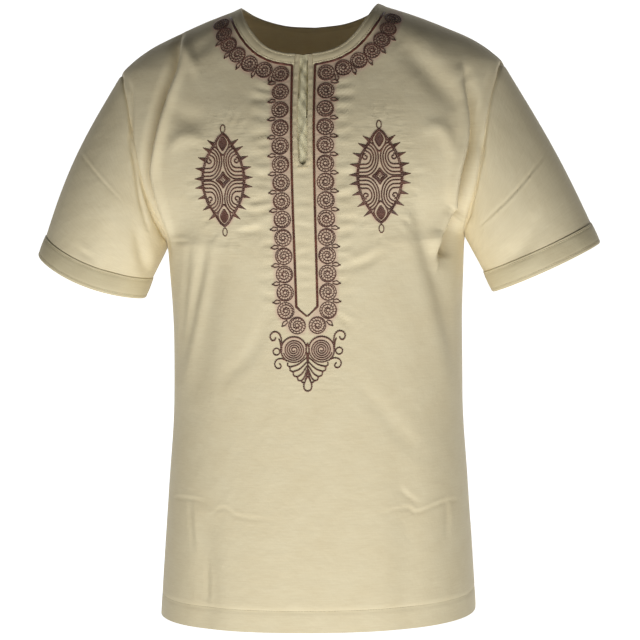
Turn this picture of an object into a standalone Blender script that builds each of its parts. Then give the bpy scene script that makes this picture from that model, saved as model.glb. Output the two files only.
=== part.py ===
"""A short-sleeved embroidered shirt, filled out as it is worn, with nobody in it.

The shirt is cut and sewn from flat pieces: a front with a centre slit, a back, two sleeves, two cuff
bands, a neck band in three lengths, two slit bindings and the facing that shows in the slit. Each is
a wall of cloth that follows horizontal sections of a general figure. The embroidery is raised on the
front as thin pieces: two chains of rosettes, two spindle-shaped medallions, a heart and two satin
lines along the neck and the slit.

Metres, +Z up. The front looks along -Y. The origin is midway between the two neck ends of the
shoulder seams, where the wearer's shoulders hold the shirt. Left and right are the wearer's, so
left is +X. Tables and sizes are in millimetres and are turned to metres by MM.
"""

import math
from typing import NamedTuple

import bmesh
import bpy
import numpy as np
from mathutils import Vector
from mathutils.bvhtree import BVHTree

MM = 0.001
FRONT = 1
BACK = -1

# The cut
LENGTH = 730.0
NECK_HALF_WIDTH = 82.5
SHOULDER_DROP = 75.0
UNDERARM_DROP = 280.0
SHOULDER_SEAM_TURN = 84.0
ARMHOLE_FRONT_SCOOP = 27.0
ARMHOLE_BACK_SCOOP = 30.0
HEM_DEPTH = 25.0
HEM_STEP = 2.0
VENT_HEIGHT = 62.0
VENT_SPREAD = 7.0
CUFF_DEPTH = 26.0
NECK_BAND_WIDTH = 12.6
SLIT_END_DROP = 191.0
SLIT_TOP_WIDTH = 8.4
SLIT_WIDTH = 12.0
BINDING_WIDTH = 5.6
SATIN_LINE_ACROSS = 13.4
SATIN_LINE_WIDTH = 2.4
PLACKET_END_DROP = 353.0
PLACKET_TIP_DROP = 364.0

# Embroidery
ROSETTE_RADIUS = 9.8
CHAIN_COLUMN_ROSETTES = 14
MEDALLION_ACROSS = 90.5
MEDALLION_DROP = 206.0
MEDALLION_WIDTH = 54.0
MEDALLION_HEIGHT = 132.0
HEART_DROP = 411.0
HEART_HALF_WIDTH = 31.0
HEART_HALF_HEIGHT = 26.0
HEART_INNER = 0.78

# Cloth
CLOTH = 1.2
HEM_CLOTH = 2.0
BAND_CLOTH = 1.0
CUFF_CLOTH = 2.2
FACING_CLOTH = 0.8
THREAD = 0.8
SEAM_GAP = 0.3
LIFT = 0.5

# How it hangs on the wearer: the shoulders are not quite level, and the body swings to the left
SHOULDER_TILT = 1.4
SWAY = 10.0
SWAY_FULL_DROP = 450.0

# Sleeves
CUFF_CENTRE = (276.0, -2.0, -318.0)
CUFF_HALF_WIDTH = 70.0
CUFF_HALF_DEPTH = 56.0
CUFF_SLOPE = 23.5

# How finely the pieces are meshed
NECK_COLUMNS = {FRONT: 8, BACK: 6}
SHOULDER_COLUMNS = 10
NECK_SHARE = 0.36
LOWER_ROWS = 16
SLIT_ROWS = 8
ARMHOLE_ROWS = 12
SLEEVE_ROWS = 8
SECTION_SAMPLES = 46
NECK_ROW = NECK_BAND_WIDTH + SEAM_GAP + SATIN_LINE_WIDTH + SEAM_GAP
HEART_POINTS = 28
MEDALLION_ROWS = (-1, -0.9, -0.75, -0.58, -0.4, -0.22, -0.07, 0.07, 0.22, 0.4, 0.58, 0.75, 0.9, 1)
MEDALLION_COLUMNS = (-1, -0.8, -0.12, 0.12, 0.8, 1)


class SleeveHang(NamedTuple):
    """How one sleeve hangs: its fullness, and how far the front of its edge sags."""

    bulge: float
    sag: float


LEFT_SLEEVE = SleeveHang(bulge=5.0, sag=1.5)
RIGHT_SLEEVE = SleeveHang(bulge=9.0, sag=8.0)


class Section(NamedTuple):
    """The shirt's body at one drop below the neck: half width, depths and fullness."""

    drop: float
    half_width: float
    front: float
    back: float
    fullness: float


BODY_SECTIONS = (
    Section(drop=0, half_width=82.5, front=44, back=54, fullness=2.0),
    Section(drop=15, half_width=126, front=53, back=64, fullness=2.0),
    Section(drop=30, half_width=162, front=62, back=73, fullness=2.0),
    Section(drop=45, half_width=194, front=69, back=80, fullness=2.0),
    Section(drop=60, half_width=216, front=76, back=87, fullness=2.0),
    Section(drop=75, half_width=231, front=82, back=93, fullness=2.0),
    Section(drop=100, half_width=240, front=93, back=102, fullness=2.0),
    Section(drop=140, half_width=243, front=109, back=112, fullness=2.0),
    Section(drop=180, half_width=236, front=119, back=116, fullness=2.05),
    Section(drop=215, half_width=221, front=124, back=117, fullness=2.1),
    Section(drop=250, half_width=199, front=126, back=115, fullness=2.15),
    Section(drop=280, half_width=180, front=126, back=112, fullness=2.2),
    Section(drop=315, half_width=177.5, front=125, back=110, fullness=2.25),
    Section(drop=390, half_width=174.5, front=124, back=106, fullness=2.3),
    Section(drop=467, half_width=175, front=126, back=108, fullness=2.3),
    Section(drop=577, half_width=182, front=131, back=114, fullness=2.3),
    Section(drop=650, half_width=187, front=135, back=119, fullness=2.3),
    Section(drop=740, half_width=193, front=140, back=125, fullness=2.3),
)


class NeckPoint(NamedTuple):
    """A point of a neckline as seen from the front: across from the centre, and below the neck."""

    across: float
    drop: float


NECKLINES = {
    FRONT: (
        NeckPoint(across=0, drop=62.0),
        NeckPoint(across=20, drop=60.5),
        NeckPoint(across=38, drop=55.5),
        NeckPoint(across=53, drop=45.0),
        NeckPoint(across=64, drop=32.0),
        NeckPoint(across=74, drop=16.0),
        NeckPoint(across=82, drop=0.0),
    ),
    BACK: (
        NeckPoint(across=0, drop=20.0),
        NeckPoint(across=30, drop=18.0),
        NeckPoint(across=55, drop=12.5),
        NeckPoint(across=72, drop=6.0),
        NeckPoint(across=82, drop=0.0),
    ),
}


class ChainPoint(NamedTuple):
    """The centre of a rosette as seen from the front: across from the centre, below the neck."""

    across: float
    drop: float


CHAIN_TOP = (
    ChainPoint(across=102.0, drop=21.0),
    ChainPoint(across=97.0, drop=34.0),
    ChainPoint(across=90.0, drop=47.5),
    ChainPoint(across=78.8, drop=60.0),
    ChainPoint(across=64.0, drop=71.6),
    ChainPoint(across=46.3, drop=79.5),
    ChainPoint(across=26.5, drop=85.0),
)
CHAIN_END = ChainPoint(across=24.5, drop=358.0)
CHAIN_FOOT = ChainPoint(across=11.8, drop=375.0)


class OutlineStep(NamedTuple):
    """One step of a rosette's outline: place in the pitch, and width in radii."""

    place: float
    width: float


ROSETTE_OUTLINE = (
    OutlineStep(place=-0.44, width=0.28),
    OutlineStep(place=-0.28, width=0.8),
    OutlineStep(place=0.0, width=1.0),
    OutlineStep(place=0.28, width=0.8),
    OutlineStep(place=0.44, width=0.28),
)


class Fabric(NamedTuple):
    """A cloth or thread: its name, its sRGB colour and its roughness."""

    name: str
    colour: tuple
    roughness: float


FABRICS = (
    Fabric(name="front_cloth", colour=(226, 213, 180), roughness=0.72),
    Fabric(name="back_cloth", colour=(222, 209, 177), roughness=0.72),
    Fabric(name="left_sleeve_cloth", colour=(224, 211, 179), roughness=0.72),
    Fabric(name="right_sleeve_cloth", colour=(224, 212, 178), roughness=0.72),
    Fabric(name="left_cuff_cloth", colour=(225, 212, 181), roughness=0.7),
    Fabric(name="right_cuff_cloth", colour=(225, 213, 180), roughness=0.7),
    Fabric(name="band_cloth", colour=(220, 206, 172), roughness=0.7),
    Fabric(name="binding_cloth", colour=(216, 203, 170), roughness=0.7),
    Fabric(name="facing_cloth", colour=(186, 182, 150), roughness=0.78),
    Fabric(name="brown_thread", colour=(82, 50, 38), roughness=0.55),
    Fabric(name="russet_thread", colour=(112, 66, 46), roughness=0.5),
)


class Fold(NamedTuple):
    """A soft trough in the cloth, from start past bend to end, as (across, drop) from the front.

    The cloth sinks by depth over a width to each side, and beside the trough, on the left of its
    way from start to end, it stands proud by lip times the depth. A negative depth is a ridge.
    """

    start: tuple
    bend: tuple
    end: tuple
    depth: float
    width: float
    lip: float = 0.0


FRONT_FOLDS = (
    Fold(start=(-150, 34), bend=(-190, 150), end=(-177, 300), depth=7.0, width=11, lip=0.3),
    Fold(start=(168, 268), bend=(208, 165), end=(184, 80), depth=8.0, width=12, lip=0.35),
    Fold(start=(170, 400), bend=(158, 290), end=(176, 235), depth=4.5, width=10, lip=0.3),
    Fold(start=(-106, 280), bend=(-122, 370), end=(-141, 475), depth=3.0, width=17),
    Fold(start=(-124, 590), bend=(-120, 665), end=(-119, 740), depth=3.0, width=16),
    Fold(start=(108, 520), bend=(116, 620), end=(112, 740), depth=2.5, width=18),
    Fold(start=(198, 266), bend=(238, 226), end=(284, 180), depth=4.0, width=9, lip=0.3),
    Fold(start=(-286, 163), bend=(-252, 201), end=(-222, 230), depth=3.0, width=12),
)
BACK_FOLDS = (
    Fold(start=(-150, 60), bend=(-182, 160), end=(-172, 300), depth=6.0, width=13, lip=0.3),
    Fold(start=(172, 300), bend=(182, 160), end=(150, 60), depth=6.0, width=13, lip=0.3),
    Fold(start=(-88, 180), bend=(-76, 420), end=(-96, 700), depth=5.0, width=22),
    Fold(start=(8, 230), bend=(-4, 460), end=(12, 740), depth=4.0, width=24),
    Fold(start=(92, 190), bend=(84, 430), end=(100, 720), depth=5.0, width=22),
)


# Reading the tables
def read_table(keys, values, at):
    """Smooth values between the rows of a table, with no overshoot between them."""
    keys = np.asarray(keys, float)
    values = np.asarray(values, float)
    step = np.diff(keys)
    rise = np.diff(values) / step
    slope = np.zeros(len(keys))
    before = 2 * step[1:] + step[:-1]
    after = step[1:] + 2 * step[:-1]
    for row in range(1, len(keys) - 1):
        if rise[row - 1] * rise[row] > 0:
            weights = before[row - 1] / rise[row - 1] + after[row - 1] / rise[row]
            slope[row] = (before[row - 1] + after[row - 1]) / weights
    slope[0] = rise[0]
    slope[-1] = rise[-1]
    at = np.clip(np.asarray(at, float), keys[0], keys[-1])
    row = np.clip(np.searchsorted(keys, at, side="right") - 1, 0, len(keys) - 2)
    t = (at - keys[row]) / step[row]
    return (
        values[row] * (1 + 2 * t) * (1 - t) ** 2
        + values[row + 1] * t**2 * (3 - 2 * t)
        + slope[row] * step[row] * t * (1 - t) ** 2
        - slope[row + 1] * step[row] * t**2 * (1 - t)
    )


def section(name, drop):
    """One column of the body sections, read at any drop."""
    drops = [row.drop for row in BODY_SECTIONS]
    return read_table(drops, [getattr(row, name) for row in BODY_SECTIONS], drop)


def smooth_step(t):
    """0 to 1 with level ends."""
    t = np.clip(t, 0.0, 1.0)
    return t * t * (3 - 2 * t)


# The figure that the cloth follows
def body_point(turn, drop, facing):
    """The body's surface at a turn in degrees from the centre front or back, and at a drop."""
    angle = np.radians(np.asarray(turn, float))
    power = 2 / section("fullness", drop)
    sine = np.sin(angle)
    forward = np.cos(angle) * facing
    depth = np.where(forward >= 0, section("front", drop), section("back", drop))
    across = section("half_width", drop) * np.sign(sine) * np.abs(sine) ** power
    along = -depth * np.sign(forward) * np.abs(forward) ** power
    return np.stack(np.broadcast_arrays(across, along, -np.asarray(drop, float)), axis=-1)


def section_arcs(drops, facing):
    """Sample turns, and the cloth's reach round the section to each of them, at every drop."""
    turns = np.linspace(0.0, 100.0, SECTION_SAMPLES)
    points = body_point(turns[None, :], np.asarray(drops, float)[:, None], facing)
    steps = np.linalg.norm(np.diff(points, axis=1), axis=2)
    reaches = np.concatenate([np.zeros((len(steps), 1)), np.cumsum(steps, axis=1)], axis=1)
    return turns, reaches


def reach_at(turn, drop, facing):
    """How far the cloth reaches round the body from the centre line to a turn."""
    turn, drop = np.broadcast_arrays(np.asarray(turn, float), np.asarray(drop, float))
    turns, reaches = section_arcs(drop.ravel(), facing)
    found = [np.interp(t, turns, r) for t, r in zip(turn.ravel(), reaches)]
    return np.array(found).reshape(turn.shape)


def turn_at(reach, drop, facing):
    """The turn at which the cloth has reached this far round the body."""
    reach, drop = np.broadcast_arrays(np.asarray(reach, float), np.asarray(drop, float))
    turns, reaches = section_arcs(drop.ravel(), facing)
    found = [np.interp(s, r, turns) for s, r in zip(reach.ravel(), reaches)]
    return np.array(found).reshape(reach.shape)


def turn_across(across, drop):
    """The turn at which the body is this far across as seen from the front."""
    share = np.clip(np.asarray(across, float) / section("half_width", drop), 0.0, 1.0)
    return np.degrees(np.arcsin(share ** (section("fullness", drop) / 2)))


def turn_of(points, facing):
    """The turn and drop of the body's nearest places to points close to it in space."""
    drop = -points[:, 2]
    power = section("fullness", drop) / 2
    forward = points[:, 1] < 0
    depth = np.where(forward, section("front", drop), section("back", drop))
    across = np.clip(np.abs(points[:, 0]) / section("half_width", drop), 0, 1) ** power
    along = np.clip(np.abs(points[:, 1]) / depth, 0, 1) ** power
    along = np.where(forward, along, -along) * facing
    turn = np.degrees(np.arctan2(across, along))
    for _ in range(8):
        here = body_point(turn, drop, facing)
        by_turn = (body_point(turn + 0.2, drop, facing) - here) / 0.2
        by_drop = (body_point(turn, drop + 0.2, facing) - here) / 0.2
        gap = points - here
        for row in range(len(points)):
            ways = np.stack([by_turn[row], by_drop[row]], axis=1)
            step = np.linalg.lstsq(ways, gap[row], rcond=None)[0]
            turn[row] += np.clip(step[0], -6, 6)
            drop[row] = max(0.3, drop[row] + np.clip(step[1], -8, 8))
    return turn, drop


def fold_offsets(points, folds):
    """How far the folds move each point out of the surface."""
    across = points[..., 0]
    drop = -points[..., 2]
    moved = np.zeros(across.shape)
    steps = np.linspace(0.0, 1.0, 25)
    for fold in folds:
        start, bend, end = (np.array(p, float) for p in (fold.start, fold.bend, fold.end))
        route = [
            (1 - t) ** 2 * start + 2 * t * (1 - t) * bend + t * t * end for t in steps
        ]
        nearest = np.full(across.shape, np.inf)
        side = np.zeros(across.shape)
        progress = np.zeros(across.shape)
        for number, (here, there) in enumerate(zip(route[:-1], route[1:])):
            way = there - here
            length = np.hypot(*way)
            gap_across = across - here[0]
            gap_drop = drop - here[1]
            share = np.clip((gap_across * way[0] + gap_drop * way[1]) / length**2, 0, 1)
            off_across = gap_across - share * way[0]
            off_drop = gap_drop - share * way[1]
            distance = np.hypot(off_across, off_drop)
            closer = distance < nearest
            nearest = np.where(closer, distance, nearest)
            turn_side = np.sign(way[1] * off_across - way[0] * off_drop)
            side = np.where(closer, turn_side, side)
            progress = np.where(closer, (number + share) / (len(route) - 1), progress)
        swell = np.sin(np.pi * np.clip(progress, 0.02, 0.98)) ** 0.6
        trough = np.exp(-((nearest / fold.width) ** 2))
        proud = np.exp(-(((side * nearest - 1.7 * fold.width) / fold.width) ** 2))
        moved -= fold.depth * swell * (trough - fold.lip * proud)
    return moved


def grid_normals(points, wraps=False):
    """Outward unit normals of a grid of points, from its neighbours in both directions."""
    if wraps:
        round_way = np.roll(points, -1, axis=1) - np.roll(points, 1, axis=1)
    else:
        round_way = np.gradient(points, axis=1)
    up_way = np.gradient(points, axis=0)
    normals = np.cross(round_way, up_way)
    return normals / np.linalg.norm(normals, axis=2, keepdims=True)


# The cut of the body panels
def armhole(step, facing):
    """Turn and drop of the armhole seam, from 0 at the shoulder tip to 1 at the underarm."""
    angle = np.pi * np.asarray(step, float)
    middle = (SHOULDER_DROP + UNDERARM_DROP) / 2
    half = (UNDERARM_DROP - SHOULDER_DROP) / 2
    scoop = ARMHOLE_FRONT_SCOOP if facing == FRONT else ARMHOLE_BACK_SCOOP
    tip_turn = 90 + facing * (SHOULDER_SEAM_TURN - 90)
    seam_turn = 90 + (tip_turn - 90) * (1 + np.cos(angle)) / 2
    return seam_turn - scoop * np.sin(angle), middle - half * np.cos(angle)


def hem_rows():
    """Drops of the rows of the hem: its edge, its stitch line, and just above that."""
    return [LENGTH, LENGTH - HEM_DEPTH, LENGTH - HEM_DEPTH - HEM_STEP]


def side_edge(facing):
    """Reach and drop of a panel's side, row by row: the side seam and then the armhole."""
    vent_top = LENGTH - VENT_HEIGHT
    seam_rows = LOWER_ROWS + SLIT_ROWS - ARMHOLE_ROWS
    seam = np.concatenate([hem_rows(), np.linspace(vent_top, UNDERARM_DROP, seam_rows)])
    turns, drops = armhole(1 - np.arange(1, ARMHOLE_ROWS + 1) / ARMHOLE_ROWS, facing)
    turns = np.concatenate([np.full(len(seam), 90.0), turns])
    drops = np.concatenate([seam, drops])
    reach = reach_at(turns, drops, facing)
    if facing == FRONT:
        reach = reach - VENT_SPREAD * np.clip((drops - vent_top) / VENT_HEIGHT, 0, 1)
    return reach, drops


def centre_edge(facing):
    """Drop of a panel's centre line, row by row, up to the row below the neckline."""
    lower = np.linspace(hem_rows()[-1], SLIT_END_DROP, LOWER_ROWS + 1)
    top = NECKLINES[facing][0].drop + NECK_ROW
    slit = np.linspace(SLIT_END_DROP, top, SLIT_ROWS)
    return np.concatenate([hem_rows()[:-1], lower, slit[1:]])


def neckline(step, facing):
    """Turn and drop of the neckline, by share of its length from the centre to the seam."""
    rows = NECKLINES[facing]
    numbers = range(len(rows))
    index = np.linspace(0, len(rows) - 1, 121)
    across = read_table(numbers, [row.across for row in rows], index)
    drop = read_table(numbers, [row.drop for row in rows], index)
    turn = turn_across(across, drop)
    turn[-1] = 90 + facing * (SHOULDER_SEAM_TURN - 90)
    line = body_point(turn, drop, facing)
    lengths = np.concatenate([[0], np.cumsum(np.linalg.norm(np.diff(line, axis=0), axis=1))])
    at = np.asarray(step, float) * lengths[-1]
    return np.interp(at, lengths, turn), np.interp(at, lengths, drop)


def top_edge(facing):
    """Turn and drop of a panel's top, column by column: the neckline and the shoulder seam."""
    columns = NECK_COLUMNS[facing]
    neck_turn, neck_drop = neckline(np.arange(columns) / (columns + 1), facing)
    wide = section("half_width", SHOULDER_DROP)
    second = NECK_HALF_WIDTH + NECK_ROW * 0.945
    widths = np.concatenate([[NECK_HALF_WIDTH], np.linspace(second, wide, SHOULDER_COLUMNS)])
    rows = [row for row in BODY_SECTIONS if row.drop <= SHOULDER_DROP]
    seam_drop = read_table([r.half_width for r in rows], [r.drop for r in rows], widths)
    seam_turn = np.full(len(widths), 90 + facing * (SHOULDER_SEAM_TURN - 90))
    return np.concatenate([neck_turn, seam_turn]), np.concatenate([neck_drop, seam_drop])


def neck_row(facing):
    """Reach and drop of the row below a panel's top, at one distance from the whole edge."""
    turns, drops = top_edge(facing)
    line = body_point(turns, drops, facing)
    round_way = body_point(turns + 0.5, drops, facing) - body_point(turns - 0.5, drops, facing)
    low = np.maximum(drops, 0.5)
    down_way = body_point(turns, low + 0.5, facing) - body_point(turns, low - 0.5, facing)
    outward = facing * np.cross(down_way, round_way)
    steps = np.diff(line, axis=0)
    before = np.concatenate([steps[:1], steps])
    after = np.concatenate([steps, steps[-1:]])
    moved = line.copy()
    corner = NECK_COLUMNS[facing]
    ways = []
    for along in (before, after):
        way = facing * np.cross(along, outward)
        ways.append(way / np.linalg.norm(way, axis=1, keepdims=True))
    mean = ways[0] + ways[1]
    mean = mean / np.linalg.norm(mean, axis=1, keepdims=True)
    moved = line + mean * NECK_ROW
    moved[corner] = line[corner] + (ways[0][corner] + ways[1][corner]) * NECK_ROW
    moved[corner + 2] = line[corner + 2] + ways[1][corner + 2] * NECK_ROW
    moved[corner + 1] = 0.6 * moved[corner] + 0.4 * moved[corner + 2]
    turn, drop = turn_of(moved, facing)
    turn[0] = 0.0
    drop[0] = drops[0] + NECK_ROW
    turn[-1], drop[-1] = armhole(1 / ARMHOLE_ROWS, facing)
    return reach_at(turn, drop, facing), drop


def panel_layout(facing):
    """Reach and drop of every grid point of the left half of a body panel, as it is cut."""
    side_reach, side_drop = side_edge(facing)
    centre_drop = centre_edge(facing)
    row_reach, row_drop = neck_row(facing)
    neck = NECK_SHARE * np.arange(NECK_COLUMNS[facing]) / NECK_COLUMNS[facing]
    shoulder = np.linspace(NECK_SHARE, 1.0, SHOULDER_COLUMNS + 1)
    share = np.concatenate([neck, shoulder])
    rise = (np.arange(len(centre_drop)) / (len(centre_drop) - 1)) ** 2.2
    chord_reach = share * row_reach[-1]
    chord_drop = centre_drop[-1] + share * (row_drop[-1] - centre_drop[-1])
    reach = np.outer(side_reach[:-1], share) + np.outer(rise, row_reach - chord_reach)
    drop = centre_drop[:, None] * (1 - share) + side_drop[:-1, None] * share
    drop = drop + np.outer(rise, row_drop - chord_drop)
    turns, drops = top_edge(facing)
    reach = np.concatenate([reach, reach_at(turns, drops, facing)[None, :]])
    return reach, np.concatenate([drop, drops[None, :]])


def panel_points(facing):
    """The outer points of a body panel in rows from the hem up, seen from outside."""
    reach, drop = panel_layout(facing)
    turn = turn_at(reach, drop, facing)
    left = body_point(turn, drop, facing)
    right = left[:, :0:-1] * (-1, 1, 1)
    points = np.concatenate([right, left], axis=1)
    return points if facing == FRONT else points[:, ::-1]


# The cut of the sleeves
def cuff_ring(angles, up_sleeve, sag):
    """A ring of the left cuff, from its outer end past the front, this far up from its edge."""
    slope = math.radians(CUFF_SLOPE)
    outward = np.array([math.cos(slope), 0.0, math.sin(slope)])
    down = np.array([math.sin(slope), 0.0, -math.cos(slope)])
    ring = np.array(CUFF_CENTRE) - up_sleeve * down
    ring = ring + CUFF_HALF_WIDTH * np.outer(np.cos(angles), outward)
    ring = ring + CUFF_HALF_DEPTH * np.outer(np.sin(angles), (0.0, -1.0, 0.0))
    return ring + sag * np.outer(np.clip(np.sin(angles), 0, 1) ** 2, down)


def armhole_ring():
    """The left armhole's seam as a ring, from the shoulder tip past the front."""
    steps = np.arange(ARMHOLE_ROWS) / ARMHOLE_ROWS
    front = body_point(*armhole(steps, FRONT), FRONT)
    back = body_point(*armhole(1 - steps, BACK), BACK)
    return np.concatenate([front, back])


def sleeve_points(hang_of):
    """The outer points of a sleeve at the left, in rings from the armhole to the cuff's seam."""
    angles = np.linspace(0, 2 * np.pi, 2 * ARMHOLE_ROWS, endpoint=False)
    start = armhole_ring()
    end = cuff_ring(angles, CUFF_DEPTH, hang_of.sag)
    full = (1 - ((1 - np.cos(angles)) / 2) ** 3)[:, None]
    rings = []
    for step in np.linspace(0.0, 1.0, SLEEVE_ROWS + 1):
        ring = (1 - step) * start + step * end
        away = ring - ring.mean(axis=0)
        away = away / np.linalg.norm(away, axis=1, keepdims=True)
        rings.append(ring + hang_of.bulge * math.sin(math.pi * step) * full * away)
    return np.array(rings)


def cuff_points(hang_of):
    """The outer points of a cuff band at the left, in rings from its seam to its edge."""
    angles = np.linspace(0, 2 * np.pi, 2 * ARMHOLE_ROWS, endpoint=False)
    steps = (CUFF_DEPTH, CUFF_DEPTH / 2, 0.0)
    return np.array([cuff_ring(angles, up, hang_of.sag) for up in steps])


def mirrored(points):
    """The same piece on the right side, still seen from outside."""
    return (points * (-1, 1, 1))[:, ::-1]


# From flat pieces to sewn cloth
class Piece:
    """One cut piece: its outer points in rows and columns, and their normals."""

    def __init__(self, points, wraps=False):
        self.points = np.array(points, float)
        self.wraps = wraps
        self.normals = grid_normals(self.points, wraps)

    def edges(self):
        """The sides of the grid that may be sewn: their points' places and the way inwards."""
        rows, columns = self.points.shape[:2]
        all_rows = np.arange(rows)
        all_columns = np.arange(columns)
        sides = [
            (np.zeros(columns, int), all_columns, (1, 0)),
            (np.full(columns, rows - 1), all_columns, (-1, 0)),
        ]
        if not self.wraps:
            sides.append((all_rows, np.zeros(rows, int), (0, 1)))
            sides.append((all_rows, np.full(rows, columns - 1), (0, -1)))
        return sides


def share_seam_normals(pieces):
    """Give points that are sewn together one normal, and say which points those are."""
    places = []
    for number, piece in enumerate(pieces):
        for rows, columns, _ in piece.edges():
            places.extend((number, row, column) for row, column in zip(rows, columns))
    places = sorted(set(places))
    points = np.array([pieces[n].points[row, column] for n, row, column in places])
    normals = np.array([pieces[n].normals[row, column] for n, row, column in places])
    sewn = set()
    for here, (number, row, column) in enumerate(places):
        near = np.linalg.norm(points - points[here], axis=1) < 0.01
        if near.sum() > 1:
            alike = near & (normals @ normals[here] > 0.2)
            mean = normals[alike].sum(axis=0)
            pieces[number].normals[row, column] = mean / np.linalg.norm(mean)
            sewn.add((number, row, column))
    return sewn


def hang(pieces, folds):
    """Press the folds into the sewn cloth and open the seams by their gap."""
    share_seam_normals(pieces)
    for piece in pieces:
        for facing, rows in folds.items():
            outward = -facing * piece.normals[..., 1]
            share = smooth_step((outward - 0.1) / 0.5)
            offset = fold_offsets(piece.points, rows) * share
            piece.points = piece.points + piece.normals * offset[..., None]
    for piece in pieces:
        piece.normals = grid_normals(piece.points, piece.wraps)
    sewn = share_seam_normals(pieces)
    for number, piece in enumerate(pieces):
        shift = np.zeros(piece.points.shape)
        for rows, columns, inward in piece.edges():
            line = piece.points[rows, columns]
            if piece.wraps:
                along = np.roll(line, -1, axis=0) - np.roll(line, 1, axis=0)
            else:
                along = np.gradient(line, axis=0)
            side = np.cross(piece.normals[rows, columns], along)
            side = side / np.linalg.norm(side, axis=1, keepdims=True)
            inner = piece.points[rows + inward[0], columns + inward[1]] - line
            side = side * np.sign((side * inner).sum(axis=1, keepdims=True))
            for row, column, step in zip(rows, columns, side):
                if (number, row, column) in sewn:
                    shift[row, column] += step * SEAM_GAP / 2
        piece.points = piece.points + shift


# Making the solids
def as_worn(points):
    """Where the wearer's stance takes a point: the shoulders tilt and the body swings."""
    points = np.array(points, float)
    points[..., 0] += SWAY * smooth_step(-points[..., 2] / SWAY_FULL_DROP)
    points[..., 2] += points[..., 0] * math.tan(math.radians(SHOULDER_TILT))
    return points


def clear_scene():
    """Remove every object, so that the file can be run again."""
    for thing in list(bpy.data.objects):
        bpy.data.objects.remove(thing, do_unlink=True)


def linear(channel):
    """One sRGB channel from 0 to 255 as the linear value that a shader takes."""
    value = channel / 255
    return value / 12.92 if value <= 0.04045 else ((value + 0.055) / 1.055) ** 2.4


def fabric(name, colour, roughness):
    """A cloth or thread material of one sRGB colour."""
    material = bpy.data.materials.new(name)
    material.use_nodes = True
    shader = material.node_tree.nodes["Principled BSDF"]
    shader.inputs["Base Color"].default_value = (*(linear(c) for c in colour), 1.0)
    shader.inputs["Roughness"].default_value = roughness
    shader.inputs["Metallic"].default_value = 0.0
    material.diffuse_color = (*(linear(c) for c in colour), 1.0)
    return material


def sheet_mesh(points, wraps):
    """A grid sheet with its points in place, each vertex marked with its place in the grid."""
    rows, columns = points.shape[:2]
    across = columns if wraps else columns - 1
    sheet = bmesh.new()
    bmesh.ops.create_grid(sheet, x_segments=across, y_segments=rows - 1, size=1.0)
    place = sheet.verts.layers.int.new("place")
    for vert in sheet.verts:
        column = round((vert.co.x + 1) / 2 * across) % columns
        row = round((vert.co.y + 1) / 2 * (rows - 1))
        vert[place] = row * columns + column
    flat = as_worn(points).reshape(-1, 3)
    for vert in sheet.verts:
        vert.co = Vector(flat[vert[place]]) * MM
    if wraps:
        bmesh.ops.remove_doubles(sheet, verts=sheet.verts, dist=1e-6)
    return sheet


def finish_wall(sheet, inner, name, material, collection):
    """Thicken a sheet to the given inner points and make it an object."""
    place = sheet.verts.layers.int["place"]
    inner = inner.reshape(-1, 3)
    bmesh.ops.triangulate(sheet, faces=sheet.faces[:], quad_method="SHORT_EDGE")
    grown = bmesh.ops.extrude_face_region(sheet, geom=sheet.faces[:], use_keep_orig=True)
    for item in grown["geom"]:
        if isinstance(item, bmesh.types.BMVert):
            shift = Vector(inner[item[place]]) * MM
            item.co = item.co + shift
    bmesh.ops.recalc_face_normals(sheet, faces=sheet.faces[:])
    bmesh.ops.triangulate(sheet, faces=sheet.faces[:])
    mesh = bpy.data.meshes.new(name)
    sheet.to_mesh(mesh)
    sheet.free()
    mesh.materials.append(material)
    mesh.shade_smooth()
    mesh.set_sharp_from_angle(angle=math.radians(45))
    thing = bpy.data.objects.new(name, mesh)
    collection.objects.link(thing)
    return thing


def add_wall(name, piece, thickness, material, collection):
    """The solid of a cut piece: its sheet thickened inwards."""
    shift = -piece.normals * np.broadcast_to(thickness, piece.points.shape[:2])[..., None]
    sheet = sheet_mesh(piece.points, piece.wraps)
    return finish_wall(sheet, shift, name, material, collection)


def slit_half_width(drop):
    """Half the width of the slit in the front, which comes to a point at its end."""
    top = NECKLINES[FRONT][0].drop
    t = np.clip((np.asarray(drop, float) - top) / (SLIT_END_DROP - top), 0, 1)
    widths = (SLIT_TOP_WIDTH, 11.2, SLIT_WIDTH, 11.4, 8.6, 0.0)
    return read_table((0, 0.2, 0.45, 0.7, 0.88, 1.0), widths, t) / 2


def add_front(piece, thickness, material, collection):
    """The front panel, cut open along the slit before it is thickened."""
    rows, columns = piece.points.shape[:2]
    middle = columns // 2
    end_row = rows - 1 - SLIT_ROWS
    sheet = sheet_mesh(piece.points, False)
    place = sheet.verts.layers.int["place"]
    cut = []
    for edge in sheet.edges:
        ends = [divmod(vert[place], columns) for vert in edge.verts]
        if all(column == middle and row >= end_row for row, column in ends):
            cut.append(edge)
    bmesh.ops.split_edges(sheet, edges=cut)
    for vert in sheet.verts:
        row, column = divmod(vert[place], columns)
        if column == middle and row > end_row:
            centres = [face.calc_center_median().x for face in vert.link_faces]
            side = math.copysign(1.0, sum(centres) / len(centres) - vert.co.x)
            vert.co.x += side * slit_half_width(-piece.points[row, column, 2]) * MM
    shift = -piece.normals * thickness[..., None]
    return finish_wall(sheet, shift, "front_panel", material, collection)


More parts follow.
